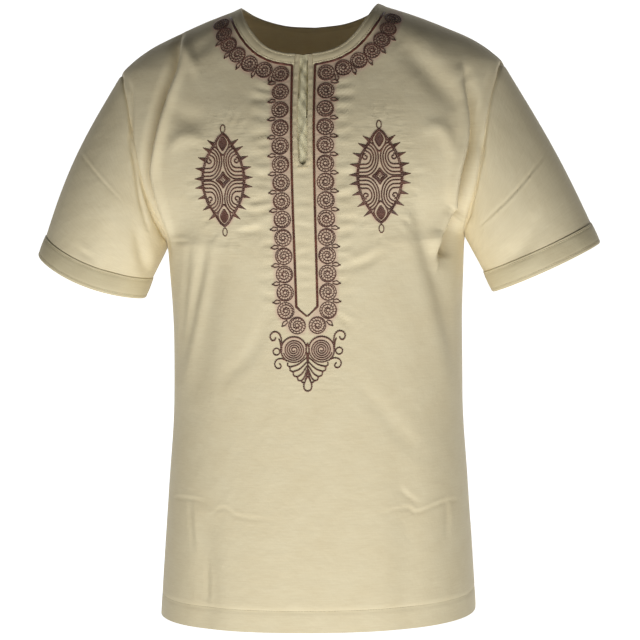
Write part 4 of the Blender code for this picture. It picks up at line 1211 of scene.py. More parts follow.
    def sew(self) -> None:
        """Cut all pieces, press the folds and draw the seams in."""
        self.front = self.panel(Facing.FRONT)
        self.back = self.panel(Facing.BACK)
        self.sleeves = {side: self.sleeve(side) for side in Side}
        self.cuffs = {side: self.cuff(side) for side in Side}
        pieces = [self.front, self.back, *self.sleeves.values(), *self.cuffs.values()]
        press(pieces, self.folds)
        for panel in (self.front, self.back):
            panel.raise_by(self.seam_valley(panel))
        for tube in self.sleeves.values():
            valley = -self.seam_depth * np.exp(-((mean_rows(tube.points) / self.seam_width) ** 2))
            tube.raise_by(np.broadcast_to(valley[:, None], tube.points.shape[:2]))
        log.info("cloth sewn")

    def seam_valley(self, panel: Cloth) -> np.ndarray:
        """The offset of each point of a panel that sinks it along its seams and hem stitches."""
        row = places(self.cut.row_steps)
        points = panel.points
        from_left = round_rows(points)
        side = np.minimum(from_left, from_left[:, -1:] - from_left)
        valley = self.seam_depth * np.exp(-((side / self.seam_width) ** 2)) * (row >= 3)[:, None]
        rises = np.linalg.norm(np.diff(points, axis=0), axis=2)
        from_top = np.concatenate([np.cumsum(rises[::-1], axis=0)[::-1], np.zeros((1, points.shape[1]))])
        shoulder = np.abs(points[-1, :, 0]) >= self.cut.neck_half_width - 0.1
        valley += 1.4 * np.exp(-((from_top / 2.0) ** 2)) * shoulder[None, :]
        hem = self.cut.length - self.cut.hem_depth + points[..., 2]
        valley += 0.55 * np.exp(-((hem / 1.6) ** 2))
        return -valley


# The sewn pieces
@dataclass
class BodyPanel:
    """The front or the back, cut in one."""

    sewn: Sewn
    facing: Facing
    thickness: float = 1.0

    def build(self, material: bpy.types.Material) -> None:
        """Make the panel's sheet with its wall.

        Args:
            material: Its cloth.
        """
        front = self.facing is Facing.FRONT
        cloth = self.sewn.front if front else self.sewn.back
        name = "front_cloth" if front else "back_cloth"
        thing = sheet_object(name, cloth.points, cloth.flat)
        if front:
            self.open_slit(thing, cloth)
        self.mark_stitches(thing, cloth)
        thicken(thing, self.thickness)
        attach(thing, material, name, "front_panel" if front else "back_panel")

    def open_slit(self, thing: bpy.types.Object, cloth: Cloth) -> None:
        """Take out the strip between the two halves and close it again below the slit."""
        columns = cloth.points.shape[1]
        middle = columns // 2
        with edit_mode(thing):
            bpy.ops.mesh.select_all(action="DESELECT")
            bpy.ops.mesh.select_mode(type="FACE")
        column = grid_places(thing) % columns
        strip = (column == middle) | (column == middle - 1)
        for face in thing.data.polygons:
            face.select = all(strip[v] for v in face.vertices)
        with edit_mode(thing):
            bpy.ops.mesh.delete(type="ONLY_FACE")
        merge(thing)

    def mark_stitches(self, thing: bpy.types.Object, cloth: Cloth) -> None:
        """Mark how far the stitches draw up each point of the cloth, and how far they tint it."""
        columns = cloth.points.shape[1]
        place = grid_places(thing)
        spot = cloth.points[place // columns, place % columns]
        marks = {"pucker": np.zeros(len(spot)), "blush": np.zeros(len(spot))}
        if self.facing is Facing.FRONT:
            marks = {"pucker": self.drawn_up(spot), "blush": self.tinted(spot)}
        for name, amount in marks.items():
            layer = thing.data.attributes.new(name, "FLOAT", "POINT")
            layer.data.foreach_set("value", amount)

    def drawn_up(self, spot: np.ndarray) -> np.ndarray:
        """How far the stitches draw up points of the front, from 0 to 1."""
        across = np.abs(spot[:, 0])
        drop = -spot[:, 2]
        column = np.exp(-(((across - 27) / 17) ** 2)) * smooth_step((drop - 70) / 20)
        column *= smooth_step((385 - drop) / 20)
        oval = np.hypot((across - MEDALLION_ACROSS) / 36, (drop - MEDALLION_DROP) / 78)
        patch = np.exp(-(((oval - 0.9) / 0.3) ** 2))
        heart = np.exp(-((np.hypot(spot[:, 0], drop - 412) / 48) ** 4))
        return np.clip(np.maximum.reduce([column, 0.7 * patch, 0.6 * heart]), 0, 1)

    def tinted(self, spot: np.ndarray) -> np.ndarray:
        """How far the threads' lint tints points of the front, from 0 to 1."""
        place = np.stack([np.abs(spot[:, 0]), -spot[:, 2]], axis=1)
        chain = RosetteChain(Side.LEFT).centres()
        near = np.full(len(spot), np.inf)
        for here, there in zip(chain[:-1], chain[1:]):
            way = there - here
            share = np.clip((place - here) @ way / (way @ way), 0, 1)
            gap = place - here - share[:, None] * way
            near = np.minimum(near, np.hypot(gap[:, 0], gap[:, 1]))
        medallion = Medallion(Side.LEFT)
        half = medallion.half_width(place[:, 1] - medallion.drop)
        out = np.abs(np.abs(spot[:, 0] - medallion.sway) - medallion.across) - half
        inside = smooth_step((4.5 - out) / 4.0) * (half > 0.5)
        disc = np.hypot(place[:, 0] - 16, place[:, 1] - 403.2)
        column = smooth_step((14.0 - near) / 4.0)
        return np.maximum.reduce([column, inside, smooth_step((16.0 - disc) / 3.0)])


@dataclass
class SleeveTube:
    """A short sleeve, set in low."""

    sewn: Sewn
    side: Side
    thickness: float = 1.0

    def build(self, material: bpy.types.Material) -> None:
        """Make the sleeve's sheet with its wall.

        Args:
            material: Its cloth.
        """
        cloth = self.sewn.sleeves[self.side]
        name = f"{self.side.word}_sleeve_cloth"
        thing = sheet_object(name, cloth.points, cloth.flat)
        thicken(thing, self.thickness)
        attach(thing, material, name, f"sleeve_{self.side.word}")


@dataclass
class CuffBand:
    """A doubled band at the sleeve's edge: rounded at its fold and open in the middle."""

    sewn: Sewn
    side: Side
    thickness: float = 2.0

    def build(self, material: bpy.types.Material) -> None:
        """Make the band as a closed loop of cloth: out, round the fold and back inside.

        Args:
            material: Its cloth.
        """
        cloth = self.sewn.cuffs[self.side]
        depths = np.linalg.norm(np.diff(cloth.points, axis=0), axis=2).mean(axis=1)
        share = running(depths) / depths.sum()
        # The band is a little full between its two rows of stitches.
        puff = -0.5 + 1.5 * np.sqrt(np.clip(share / 0.03, 0, 1))
        puff += 0.35 * np.sin(np.pi * np.clip((share - 0.14) / 0.7, 0, 1)) ** 0.7
        puff -= 0.4 * np.exp(-(((share - 0.12) / 0.03) ** 2))
        puff -= 0.4 * np.exp(-(((share - 0.88) / 0.04) ** 2))
        puff *= np.clip((1 - share) / 0.04, 0, 1) ** 0.5
        outer = cloth.points + cloth.normals * puff[:, None, None]
        down = unit(cloth.points[-1] - cloth.points[-2])
        edge = []
        for turn in np.linspace(0.15, 0.85, 5) * np.pi:
            inward = -cloth.normals[-1] * self.thickness * (1 - math.cos(turn)) / 2
            edge.append(cloth.points[-1] + inward + down * 0.5 * self.thickness * math.sin(turn))
        inner = (cloth.points - cloth.normals * self.thickness)[::-1]
        loop = np.concatenate([outer, np.array(edge), inner])
        closed = np.concatenate([loop, loop[:, :1]], axis=1)
        down_map = -mean_rows(loop) * MM
        flat = np.stack(
            [
                np.broadcast_to(cloth.flat[0, :, 0], closed.shape[:2]),
                np.broadcast_to(down_map[:, None], closed.shape[:2]),
            ],
            axis=2,
        )
        name = f"{self.side.word}_cuff_cloth"
        thing = sheet_object(name, loop, flat)
        bpy.ops.object.shade_smooth_by_angle(angle=math.radians(60))
        attach(thing, material, name, f"cuff_band_{self.side.word}")


# What lies on the front
def around(centre: tuple, across: np.ndarray, up: np.ndarray, turn: np.ndarray) -> np.ndarray:
    """Points round a centre, from their reach across and up and their turns in radians."""
    turned = [centre[0] + across * np.cos(turn), centre[1] + up * np.sin(turn)]
    return np.stack(turned, axis=1)


def ellipse(centre: tuple, radii: tuple, start: float = 0, end: float = 360) -> np.ndarray:
    """Points round an ellipse from one angle in degrees to another."""
    count = max(6, int(abs(end - start) / 7))
    return around(centre, *radii, np.radians(np.linspace(start, end, count)))


def spiral(centre: tuple, radii: tuple, turns: float, start: float, hand: int = 1) -> np.ndarray:
    """Points along a spiral.

    Args:
        centre: Its middle.
        radii: Its first and last radius.
        turns: How many turns it takes.
        start: The angle of its first point in degrees.
        hand: 1 for anticlockwise and -1 for clockwise.

    Returns:
        The points.
    """
    share = np.linspace(0, 1, max(8, int(turns * 40)))
    turn = math.radians(start) + hand * 2 * np.pi * turns * share
    radius = radii[0] + (radii[1] - radii[0]) * share
    return around(centre, radius, radius, turn)


def bent(*points: tuple) -> np.ndarray:
    """A smooth line through a few points."""
    rows = np.array(points, float)
    return refine(rows, [8] * (len(rows) - 1), ())


@dataclass
class RosetteChain:
    """A chain of spiral rosettes in chain stitch, from the shoulder to below the slit's foot."""

    side: Side
    radius: float = 9.6
    thread: float = 0.6
    stitch: float = 2.5
    column: int = 14
    top: tuple = ((102, 21), (97, 34), (90, 47.5), (78.8, 60), (64, 71.6), (46.3, 79.5), (26.5, 85))
    end: tuple = (24.5, 358.0)
    foot: tuple = (11.8, 375.0)

    def centres(self) -> np.ndarray:
        """The centres of the rosettes as (across, drop) from the front."""
        rows = list(self.top)
        for step in range(1, self.column):
            share = step / (self.column - 1)
            across = self.top[-1][0] + share * (self.end[0] - self.top[-1][0])
            rows.append((across, self.top[-1][1] + share * (self.end[1] - self.top[-1][1])))
        rows.append(self.foot)
        return np.array(rows) * (self.side.value, 1)

    def build(self, surface: Surface, material: bpy.types.Material) -> None:
        """Sew the rosettes, the rungs between their rounds and the picots beside them.

        Args:
            surface: The front.
            material: The thread.
        """
        chance = np.random.default_rng(20 + self.side.value)
        needle = Needle(surface)
        centres = self.centres()
        for number, centre in enumerate(centres):
            start = chance.uniform(0, 360)
            hand = self.side.value
            needle.flat(centre, ellipse((0, 0), (2.1, 2.1), 0, 350), 0.55, self.stitch)
            line = spiral((0, 0), (2.4, self.radius), 2.15, start, hand)
            needle.flat(centre, line, self.thread, self.stitch)
            needle.flat(centre, ellipse((0, 0), (self.radius,) * 2, 0, 357), 0.6, self.stitch)
            for inner, outer, count in ((2.8, 5.4, 8), (6.2, 9.0, 15)):
                for turn in np.arange(count) * 2 * np.pi / count + chance.uniform(0, 1):
                    first = np.array([math.cos(turn), math.sin(turn)]) * inner
                    lean = turn + hand * 0.16
                    second = np.array([math.cos(lean), math.sin(lean)]) * outer
                    needle.flat(centre, np.array([first, second]), 0.38)
            if 0 < number < len(centres) - 1:
                self.add_picot(needle, centres[number], centres[number + 1])
        thing = needle.make(f"rosettes_{self.side.word}")
        attach(thing, material, "brown_thread", f"rosette_chain_{self.side.word}")

    def add_picot(self, needle: Needle, here: np.ndarray, there: np.ndarray) -> None:
        """Sew an open loop outwards from the notch between two rosettes."""
        middle = (here + there) / 2
        way = (there - here) / np.linalg.norm(there - here) * (1, -1)
        out = np.array([way[1], -way[0]])
        out = out * (1 if out[0] * self.side.value > 0 else -1)
        tip = out * 14.2 + way * 0.8
        for edge in (1, -1):
            line = bent(out * 5.4 + way * edge * 0.8, out * 10.4 + way * edge * 2.1, tip)
            needle.flat(tuple(middle), line, 0.68, 1.9)
        needle.flat(tuple(middle), np.array([tip - out * 0.7, tip + out * 0.9]), 0.9)


@dataclass
class SatinLine:
    """Two cords side by side, round the neck band and down the side of the placket."""

    sewn: Sewn
    side: Side
    inner: float = 12.9
    width: float = 2.4
    across: float = 13.4
    end: float = 353.0
    tip: float = 364.0

    def build(self, surface: Surface, material: bpy.types.Material) -> None:
        """Sew both cords.

        Args:
            surface: The front.
            material: The thread.
        """
        needle = Needle(surface)
        neck = NeckBand(self.sewn)
        for shift in (0.25, 0.75):
            distance = self.inner + shift * self.width
            spots, normals = neck.at_distance(Facing.FRONT, distance)
            keep = spots[:, 0] > self.across - 1
            line = spots[keep][::-1] * (self.side.value, 1, 1)
            ways = normals[keep][::-1] * (self.side.value, 1, 1)
            edge = self.across + (shift - 0.5) * self.width
            top = self.sewn.cut.drops[Facing.FRONT][0] + self.inner + shift * self.width
            down = [(edge, top + 0.5), (edge - 1.2, self.end + shift)]
            foot = [(self.across / 2, (self.end + self.tip) / 2 + shift), (0.5, self.tip + shift)]
            placket = needle.even(np.array(down + foot) * (self.side.value, 1))
            spots, normals = surface.spread(placket)
            line = np.concatenate([line, spots])
            ways = np.concatenate([ways, normals])
            needle.keep(line, ways, 0.86, 1.1)
        thing = needle.make(f"satin_{self.side.word}")
        attach(thing, material, "russet_thread", f"satin_line_{self.side.word}")


@dataclass
class NeckBand:
    """The folded band round the neck edge, sewn flat on the outside and turned over the edge."""

    sewn: Sewn
    width: float = 12.6
    thickness: float = 0.5

    def at_distance(self, facing: Facing, distance: float) -> tuple:
        """Places at one distance from the neckline on the left, from the centre to the seam.

        Args:
            facing: Front or back.
            distance: How far from the edge.

        Returns:
            The places and the normals there.
        """
        cut = self.sewn.cut
        cloth = self.sewn.front if facing is Facing.FRONT else self.sewn.back
        middle = cloth.points.shape[1] // 2
        count = cut.neck_columns[facing] * cut.neck_steps[facing] + 1
        row = len(cloth.points) - 1 - distance / cut.neck_row * cut.row_steps[-1]
        low = int(math.floor(min(row, len(cloth.points) - 2)))
        share = row - low
        columns = np.arange(middle, middle + count)
        if facing is Facing.BACK:
            columns = np.arange(middle, middle - count, -1)
        points = cloth.points[low, columns] * (1 - share) + cloth.points[low + 1, columns] * share
        normals = cloth.normals[low, columns] * (1 - share) + cloth.normals[low + 1, columns] * share
        corner = cloth.points[-1, columns[-1]] + max(distance, 0) / cut.neck_row * (
            cloth.points[-1, columns[-1] + facing.value * cut.shoulder_steps]
            - cloth.points[-1, columns[-1]]
        )
        # Near the shoulder seam the rows turn a corner, so the last points run on to the seam.
        run = 8
        blend = np.linspace(0, 1, run)[:, None]
        points[-run:] = points[-run:] * (1 - blend**2) + corner * blend**2
        return points, unit(normals)

    def build(self, facing: Facing, side: Side, material: bpy.types.Material) -> None:
        """Make one length of the band.

        Args:
            facing: Front or back.
            side: Left or right, for a front length.
            material: Its cloth.
        """
        profile = [(0.45 * self.width, -1.9), (1.2, -1.9), (0.1, -1.6), (-0.7, -0.7)]
        profile += [(-0.75, 0.1), (-0.1, 0.75), (1.0, 1.0), (1.9, 0.62), (3.2, 0.98)]
        profile += [(6.3, 1.1), (9.4, 1.0), (10.8, 0.6), (11.7, 0.95), (12.3, 0.6), (12.6, 0.1)]
        rows = []
        for distance, height in profile:
            points, normals = self.at_distance(facing, max(distance, 0.0))
            if distance < 0:
                lower, _ = self.at_distance(facing, 2.0)
                points = points - unit(points - lower) * distance
            rows.append(points + normals * height)
        grid = np.array(rows)
        if facing is Facing.FRONT:
            start = np.argmax(grid[-1, :, 0] > 10.2)
            grid = grid[:, start:]
            node = f"neck_band_{side.word}"
            grid = grid * (side.value, 1, 1)
            if side is Side.RIGHT:
                grid = grid[:, ::-1]
        else:
            node = "neck_band_back"
            grid = np.concatenate([grid[:, :0:-1], grid * (-1, 1, 1)], axis=1)
        grid = grid[::-1]
        across = round_rows(grid)
        up = np.broadcast_to(mean_rows(grid)[:, None], across.shape)
        flat = np.stack([across, up], axis=2) * MM
        sew_on(node, grid, flat, (material, "band_cloth"), self.thickness)


@dataclass
class SlitBinding:
    """A strip folded over one edge of the slit, drawn up by its stitches."""

    sewn: Sewn
    side: Side
    thickness: float = 0.4

    def build(self, surface: Surface, material: bpy.types.Material) -> None:
        """Make the strip.

        Args:
            surface: The front.
            material: Its cloth.
        """
        chance = np.random.default_rng(5 + self.side.value)
        cut = self.sewn.cut
        drops = np.arange(62.4, cut.slit_end + 4, 1.3)
        half = np.maximum(cut.slit_half_width(drops), 0.3)
        phase = chance.uniform(0, 6)
        wave = np.sin(drops / 1.9 + phase) + 0.7 * np.sin(drops / 1.13 + 2 * phase)
        profile = [(1.6, -2.0), (0.4, -1.8), (-0.5, -0.9), (-0.4, 0.2), (0.5, 1.0), (1.6, 1.25)]
        profile += [(2.9, 1.35), (4.2, 1.2), (5.0, 0.7), (5.6, 0.1)]
        rows = []
        for shift, height in profile:
            across = self.side.value * (half + shift + 0.12 * wave * (shift < 3))
            spots, normals = surface.spread(np.stack([across, drops], axis=1))
            swell = height + 0.16 * wave * (0.5 < height)
            rows.append(spots + normals * np.asarray(swell)[:, None])
        grid = np.array(rows)
        if self.side is Side.LEFT:
            grid = grid[:, ::-1]
        grid = grid.swapaxes(0, 1)
        flat = np.stack(np.meshgrid(mean_rows(grid.swapaxes(0, 1)), mean_rows(grid)), axis=2) * MM
        node = f"slit_binding_{self.side.word}"
        sew_on(node, grid, flat, (material, "binding_cloth"), self.thickness)


@dataclass
class SlitFacing:
    """The thin crumpled cloth that shows in the slit."""

    sewn: Sewn
    thickness: float = 0.4

    def build(self, surface: Surface, material: bpy.types.Material) -> None:
        """Make the strip behind the slit.

        Args:
            surface: The front.
            material: Its cloth.
        """
        across = np.linspace(-10.0, 11.0, 22)
        drops = np.arange(self.sewn.cut.slit_end + 7, 61.2, -1.1)
        grid = np.zeros((len(drops), len(across), 3))
        for row, drop in enumerate(drops):
            spots, normals = surface.spread(np.stack([across, np.full(len(across), drop)], axis=1))
            middle = spots[[0, -1]].mean(axis=0)
            way = normals[[0, -1]].mean(axis=0)
            line = middle + (across[:, None] - 0.5) * (1.0, 0.0, 0.0)
            depth = -1.9 + 0.9 * np.sin(across / 1.6 + drop / 11.0 + 0.8 * np.sin(drop / 6.0))
            depth = depth + 0.4 * np.sin(drop / 2.7 - across / 1.9)
            depth = depth - 4.5 * np.exp(-(((across - 5.6) / 1.0) ** 2)) * (68 < drop < 136)
            grid[row] = line + way * depth[:, None]
        flat = np.stack(np.meshgrid(across, -drops), axis=2) * MM
        sew_on("slit_facing", grid, flat, (material, "facing_cloth"), self.thickness)


@dataclass
class Medallion:
    """A spindle of nested scrolls round a small diamond, with thorns and a loop at each tip."""

    side: Side
    across: float = MEDALLION_ACROSS
    sway: float = -3.2
    drop: float = MEDALLION_DROP
    thorn: float = 9.4
    line: float = 0.92
    scroll: tuple = (16.0, 22.0)
    heights: tuple = (-54, -50, -42, -34.6, -25, -10.5, 0, 10.5, 25, 34.6, 42, 50, 54)
    widths: tuple = (0, 5.2, 10.4, 15.2, 20.8, 25.0, 26, 25.0, 20.8, 15.2, 10.4, 5.2, 0)
    thorns: tuple = (41, 33.5, 23.5, 12.5, 2, -7.5, -18.5, -30, -40)

    def half_width(self, height: np.ndarray) -> np.ndarray:
        """Half the width of the spindle at a height."""
        return np.interp(height, self.heights, self.widths)

    def place(self, line: np.ndarray) -> np.ndarray:
        """A line of the pattern as (across, drop) from the front."""
        centre = np.array([self.side.value * self.across + self.sway, self.drop])
        return centre + np.asarray(line) * (1, -1)

    def scrolls(self) -> list:
        """The nested lines of one quarter, outwards from its curl."""
        lines = [spiral(self.scroll, (1.2, 3.8), 1.1, 60)]
        for radius, below, above in ((6.4, 8.4, 6.6), (9.2, 12.9, 10.6), (12.0, 17.4, 14.4)):
            lines.append(self.scroll_line(radius, below, above))
        lines.append(self.scroll_line(14.7, 21.2, 18.0))
        return lines

    def caps(self) -> list:
        """Short arcs that round the ends of the ribbons between the scroll lines."""
        lines = self.scrolls()[1:]
        arcs = []
        for here, there in zip(lines[:-1], lines[1:]):
            for end in (0, -1):
                first, last = here[end], there[end]
                middle = (first + last) / 2
                reach = np.linalg.norm(last - first) / 2
                out = np.array([1.0, 0.0]) if end == 0 else np.array([0.72, 0.69])
                turn = np.linspace(0, np.pi, 9)[:, None]
                arcs.append(middle + (first - middle) * np.cos(turn) + out * reach * np.sin(turn))
        return arcs

    def scroll_line(self, radius: float, below: float, above: float) -> np.ndarray:
        """One scroll line: out along the mid-line, round the curl and up to the edge."""
        low = ellipse(self.scroll, (radius, below), 270, 180)
        high = ellipse(self.scroll, (radius, above), 180, 40)
        edge = self.half_width(self.scroll[1] - below) - 3.4
        start = np.array([[edge, self.scroll[1] - below]])
        inside = high[:, 0] < self.half_width(high[:, 1]) - 3.0
        stop = len(high) if inside.all() else int(np.argmin(inside))
        return np.concatenate([start, low, high[1:stop]])

    def build(self, surface: Surface, materials: dict) -> None:
        """Sew the pattern over a padded ground.

        Args:
            surface: The front.
            materials: The thread and the ground's cloth.
        """
        needle = Needle(surface)
        level = np.linspace(-54, 54, 61)
        for flip in (1, -1):
            edge = np.stack([flip * self.half_width(level), level], axis=1)
            needle.front(self.place(edge), 0.85, 2.3)
            needle.front(self.place(edge * (1 - 1.7 / 26, 0.96)), 0.6, 1.9)
            for rise in (1, -1):
                for line in (*self.scrolls(), *self.caps()):
                    needle.front(self.place(line * (flip, rise)), self.line, 1.7)
        for rise in (1, -1):
            drop = ((0, 28), (4.4, 33), (7.4, 39), (7.2, 44), (4.2, 49), (0, 52.5))
            inner = ((0, 33.6), (2.6, 37.4), (4.4, 41.2), (3.9, 44.6), (2.0, 47.6), (0, 49.4))
            for flip in (1, -1):
                needle.front(self.place(bent(*drop) * (flip, rise)), self.line, 1.7)
                needle.front(self.place(bent(*inner) * (flip, rise)), self.line, 1.7)
            for height in np.arange(34.8, 49.0, 1.05):
                half = np.interp(height, [row[1] for row in inner], [row[0] for row in inner]) - 0.2
                row = [(-half, height * rise), (half, height * rise)]
                needle.front(self.place(row), 0.62)
            middle = 59.0 if rise > 0 else -60.0
            needle.front(self.place(ellipse((0, middle), (2.7, 4.6), 0, 355)), 0.66, 2.2)
        self.add_diamond(needle)
        self.add_thorns(needle)
        thing = needle.make(f"medallion_pattern_{self.side.word}")
        name = f"medallion_{self.side.word}"
        attach(thing, materials["brown"], "brown_thread", name)
        self.add_ground(surface, materials["ground"])

    def add_diamond(self, needle: Needle) -> None:
        """Sew the concave diamond in the middle and its lattice."""
        turn = np.linspace(0, 2 * np.pi, 49)
        for size in (8.4, 5.6):
            line = np.stack([size * np.cos(turn) ** 3, 1.08 * size * np.sin(turn) ** 3], axis=1)
            bowed = np.stack([size * np.cos(turn), 1.08 * size * np.sin(turn)], axis=1)
            needle.front(self.place(0.75 * line + 0.25 * bowed), self.line)
        for shift in (-2.1, 0.0, 2.1):
            for lean in (1, -1):
                first = np.array([shift - 2.2, lean * (-shift - 2.2)])
                second = np.array([shift + 2.2, lean * (-shift + 2.2)])
                needle.front(self.place(np.array([first, second]) * 0.75), 0.42)

    def add_thorns(self, needle: Needle) -> None:
        """Sew the thorns along both sides."""
        for flip in (1, -1):
            for height in self.thorns:
                base = np.array([self.half_width(height), height])
                lean = math.radians(36 * height / 40)
                tip = base + self.thorn * np.array([math.cos(lean), math.sin(lean)])
                for spread in (1.6, 0.0, -1.6):
                    foot = base + np.array([0.2, spread])
                    line = needle.even(self.place(np.array([foot, tip]) * (flip, 1)))
                    spots, normals = needle.surface.spread(line)
                    needle.keep(spots, normals, np.linspace(0.85, 0.3, len(line)), 0)

    def add_ground(self, surface: Surface, material: bpy.types.Material) -> None:
        """Make the padded ground under the pattern, slightly raised and full."""
        heights = np.linspace(-53.4, 53.4, 80)
        shares = np.linspace(-1, 1, 41)
        across = np.outer(np.maximum(self.half_width(heights) - 0.3, 0.4), shares)
        level = np.broadcast_to(heights[:, None], across.shape)
        rows = self.place(np.stack([across, level], axis=2).reshape(-1, 2))
        spots, normals = surface.spread(rows)
        edge = np.minimum((1 - np.abs(shares))[None, :] * self.half_width(heights)[:, None] / 2, 1)
        height = -0.15 + 0.45 * np.clip(edge, 0, 1) ** 0.6
        points = spots.reshape(*across.shape, 3) + normals.reshape(*across.shape, 3) * height[..., None]
        flat = np.stack([across, level], axis=2) * MM
        thing = sheet_object(f"medallion_ground_{self.side.word}", points, flat)
        bpy.ops.object.shade_smooth()
        attach(thing, material, "front_cloth")


@dataclass
class HeartMotif:
    """Two spiral discs over a fan of strokes, with hooks and rings at the sides and a loop below."""

    drop: float = 411.0
    line: float = 0.74
    disc: tuple = (16.0, 7.8)

    def place(self, line: np.ndarray) -> np.ndarray:
        """A line of the pattern as (across, drop) from the front."""
        return np.array([0.0, self.drop]) + np.asarray(line) * (1, -1)

    def build(self, surface: Surface, material: bpy.types.Material) -> None:
        """Sew the heart.

        Args:
            surface: The front.
            material: The thread.
        """
        needle = Needle(surface)
        for flip in (1, -1):
            for line, radius, bead in self.half():
                needle.front(self.place(np.asarray(line) * (flip, 1)), radius, bead)
        drop = ((0, -22.5), (-2.6, -27.5), (-4.6, -33), (-3.6, -38), (0, -40))
        for flip in (1, -1):
            needle.front(self.place(bent(*drop) * (flip, 1)), 0.9, 2.4)
        needle.front(self.place([(0, 4.0), (0, -21)]), 0.95, 0)
        thing = needle.make("heart_pattern")
        attach(thing, material, "brown_thread", "heart_motif")

    def half(self) -> list:
        """The lines of the right half of the heart: each with its radius and its stitch."""
        disc = self.disc
        rows = [
            (spiral(disc, (1.4, 12.4), 4.4, 200), self.line, 1.8),
            (ellipse(disc, (14.9, 15.1), -58, 172), 0.95, 2.4),
            (ellipse(disc, (14.2, 14.4), 172, 302), self.line, 2.0),
            (bent((0.0, 15.6), (0.8, 12.6), (1.4, 8.0), (1.0, 0.0), (0.7, -6.0)), 0.75, 0),
        ]
        ends = ((21.0, -12.0), (17.6, -17.6), (12.6, -23.6), (7.4, -28.0), (3.4, -27.4))
        starts = ((1.6, -1.5), (1.2, -6.5), (1.0, -11.0), (0.8, -15.0), (0.6, -18.0))
        for start, end in zip(starts, ends):
            middle = (0.45 * start[0] + 0.5 * end[0], 0.42 * start[1] + 0.58 * end[1] - 1.4)
            rows.append((bent(start, middle, end), 0.9, 1.9))
        knots = ((23.0, -6.6), (20.8, -12.2), (17.2, -17.8), (12.4, -23.6), (7.6, -28.2), (4.0, -29.8))
        scallop = []
        for here, there in zip(np.array(knots[:-1]), np.array(knots[1:])):
            out = np.array([there[1] - here[1], here[0] - there[0]]) * -0.24
            scallop += [here, (here + there) / 2 + out]
        scallop.append(np.array(knots[-1]))
        rows.append((bent(*scallop), 0.85, 2.3))
        hook = [(30.6, 5.0), (30.2, 10.0), (30.2, 18.0), (31.6, 25.0), (36.0, 29.0), (41.0, 27.8)]
        hook += [(43.4, 23.6), (41.4, 19.2), (38.0, 19.6), (36.8, 22.6)]
        rows.append((bent(*hook), 0.95, 2.4))
        rows.append((bent((31.0, 9.0), (31.2, 13.0), (31.8, 17.0), (33.2, 21.0)), 0.8, 0))
        rows.append((ellipse((36.2, 6.0), (3.9, 3.9), 0, 355), 0.82, 2.3))
        low = [(26.4, -3.4), (31.2, -2.0), (36.4, -3.8), (38.4, -8.4), (36.4, -12.6)]
        low += [(32.4, -13.2), (31.0, -10.4), (33.0, -7.4)]
        rows.append((bent(*low), 0.85, 2.4))
        return rows


@dataclass
class Topstitching:
    """The rows of machine stitches along the hem, the vents, the cuffs and the neck band."""

    sewn: Sewn
    cuff_rows: tuple = (5, 13)
    cuff_lift: float = 0.75
    band_rows: tuple = (1.9, 10.8)
    band_lift: float = 0.62

    def build(self, surface: Surface, material: bpy.types.Material) -> None:
        """Sew every row.

        Args:
            surface: The front.
            material: The sewing thread.
        """
        for cloth, name in ((self.sewn.front, "front"), (self.sewn.back, "back")):
            needle = Needle(surface)
            row = self.sewn.cut.row_steps[0]
            needle.dashes(cloth.points[row], cloth.normals[row])
            rows = slice(0, 30)
            for column in (3, -4):
                spots = cloth.points[rows, column]
                needle.dashes(spots, cloth.normals[rows, column])
            thing = needle.make(f"{name}_hem_stitches")
            attach(thing, material, f"{name}_cloth")
        for side, cloth in self.sewn.cuffs.items():
            needle = Needle(surface)
            for row in self.cuff_rows:
                ring = np.concatenate([cloth.points[row], cloth.points[row, :1]])
                ways = np.concatenate([cloth.normals[row], cloth.normals[row, :1]])
                needle.dashes(ring + ways * self.cuff_lift, ways)
            thing = needle.make(f"{side.word}_cuff_stitches")
            attach(thing, material, f"{side.word}_cuff_cloth")
        band = NeckBand(self.sewn)
        needle = Needle(surface)
        for distance in self.band_rows:
            for flip in (1, -1):
                for facing in Facing:
                    spots, normals = band.at_distance(facing, distance)
                    keep = spots[:, 0] > (10.5 if facing is Facing.FRONT else -1)
                    line = spots[keep] * (flip, 1, 1)
                    ways = normals[keep] * (flip, 1, 1)
                    needle.dashes(line + ways * self.band_lift, ways)
        thing = needle.make("neck_band_stitches")
        attach(thing, material, "band_cloth")


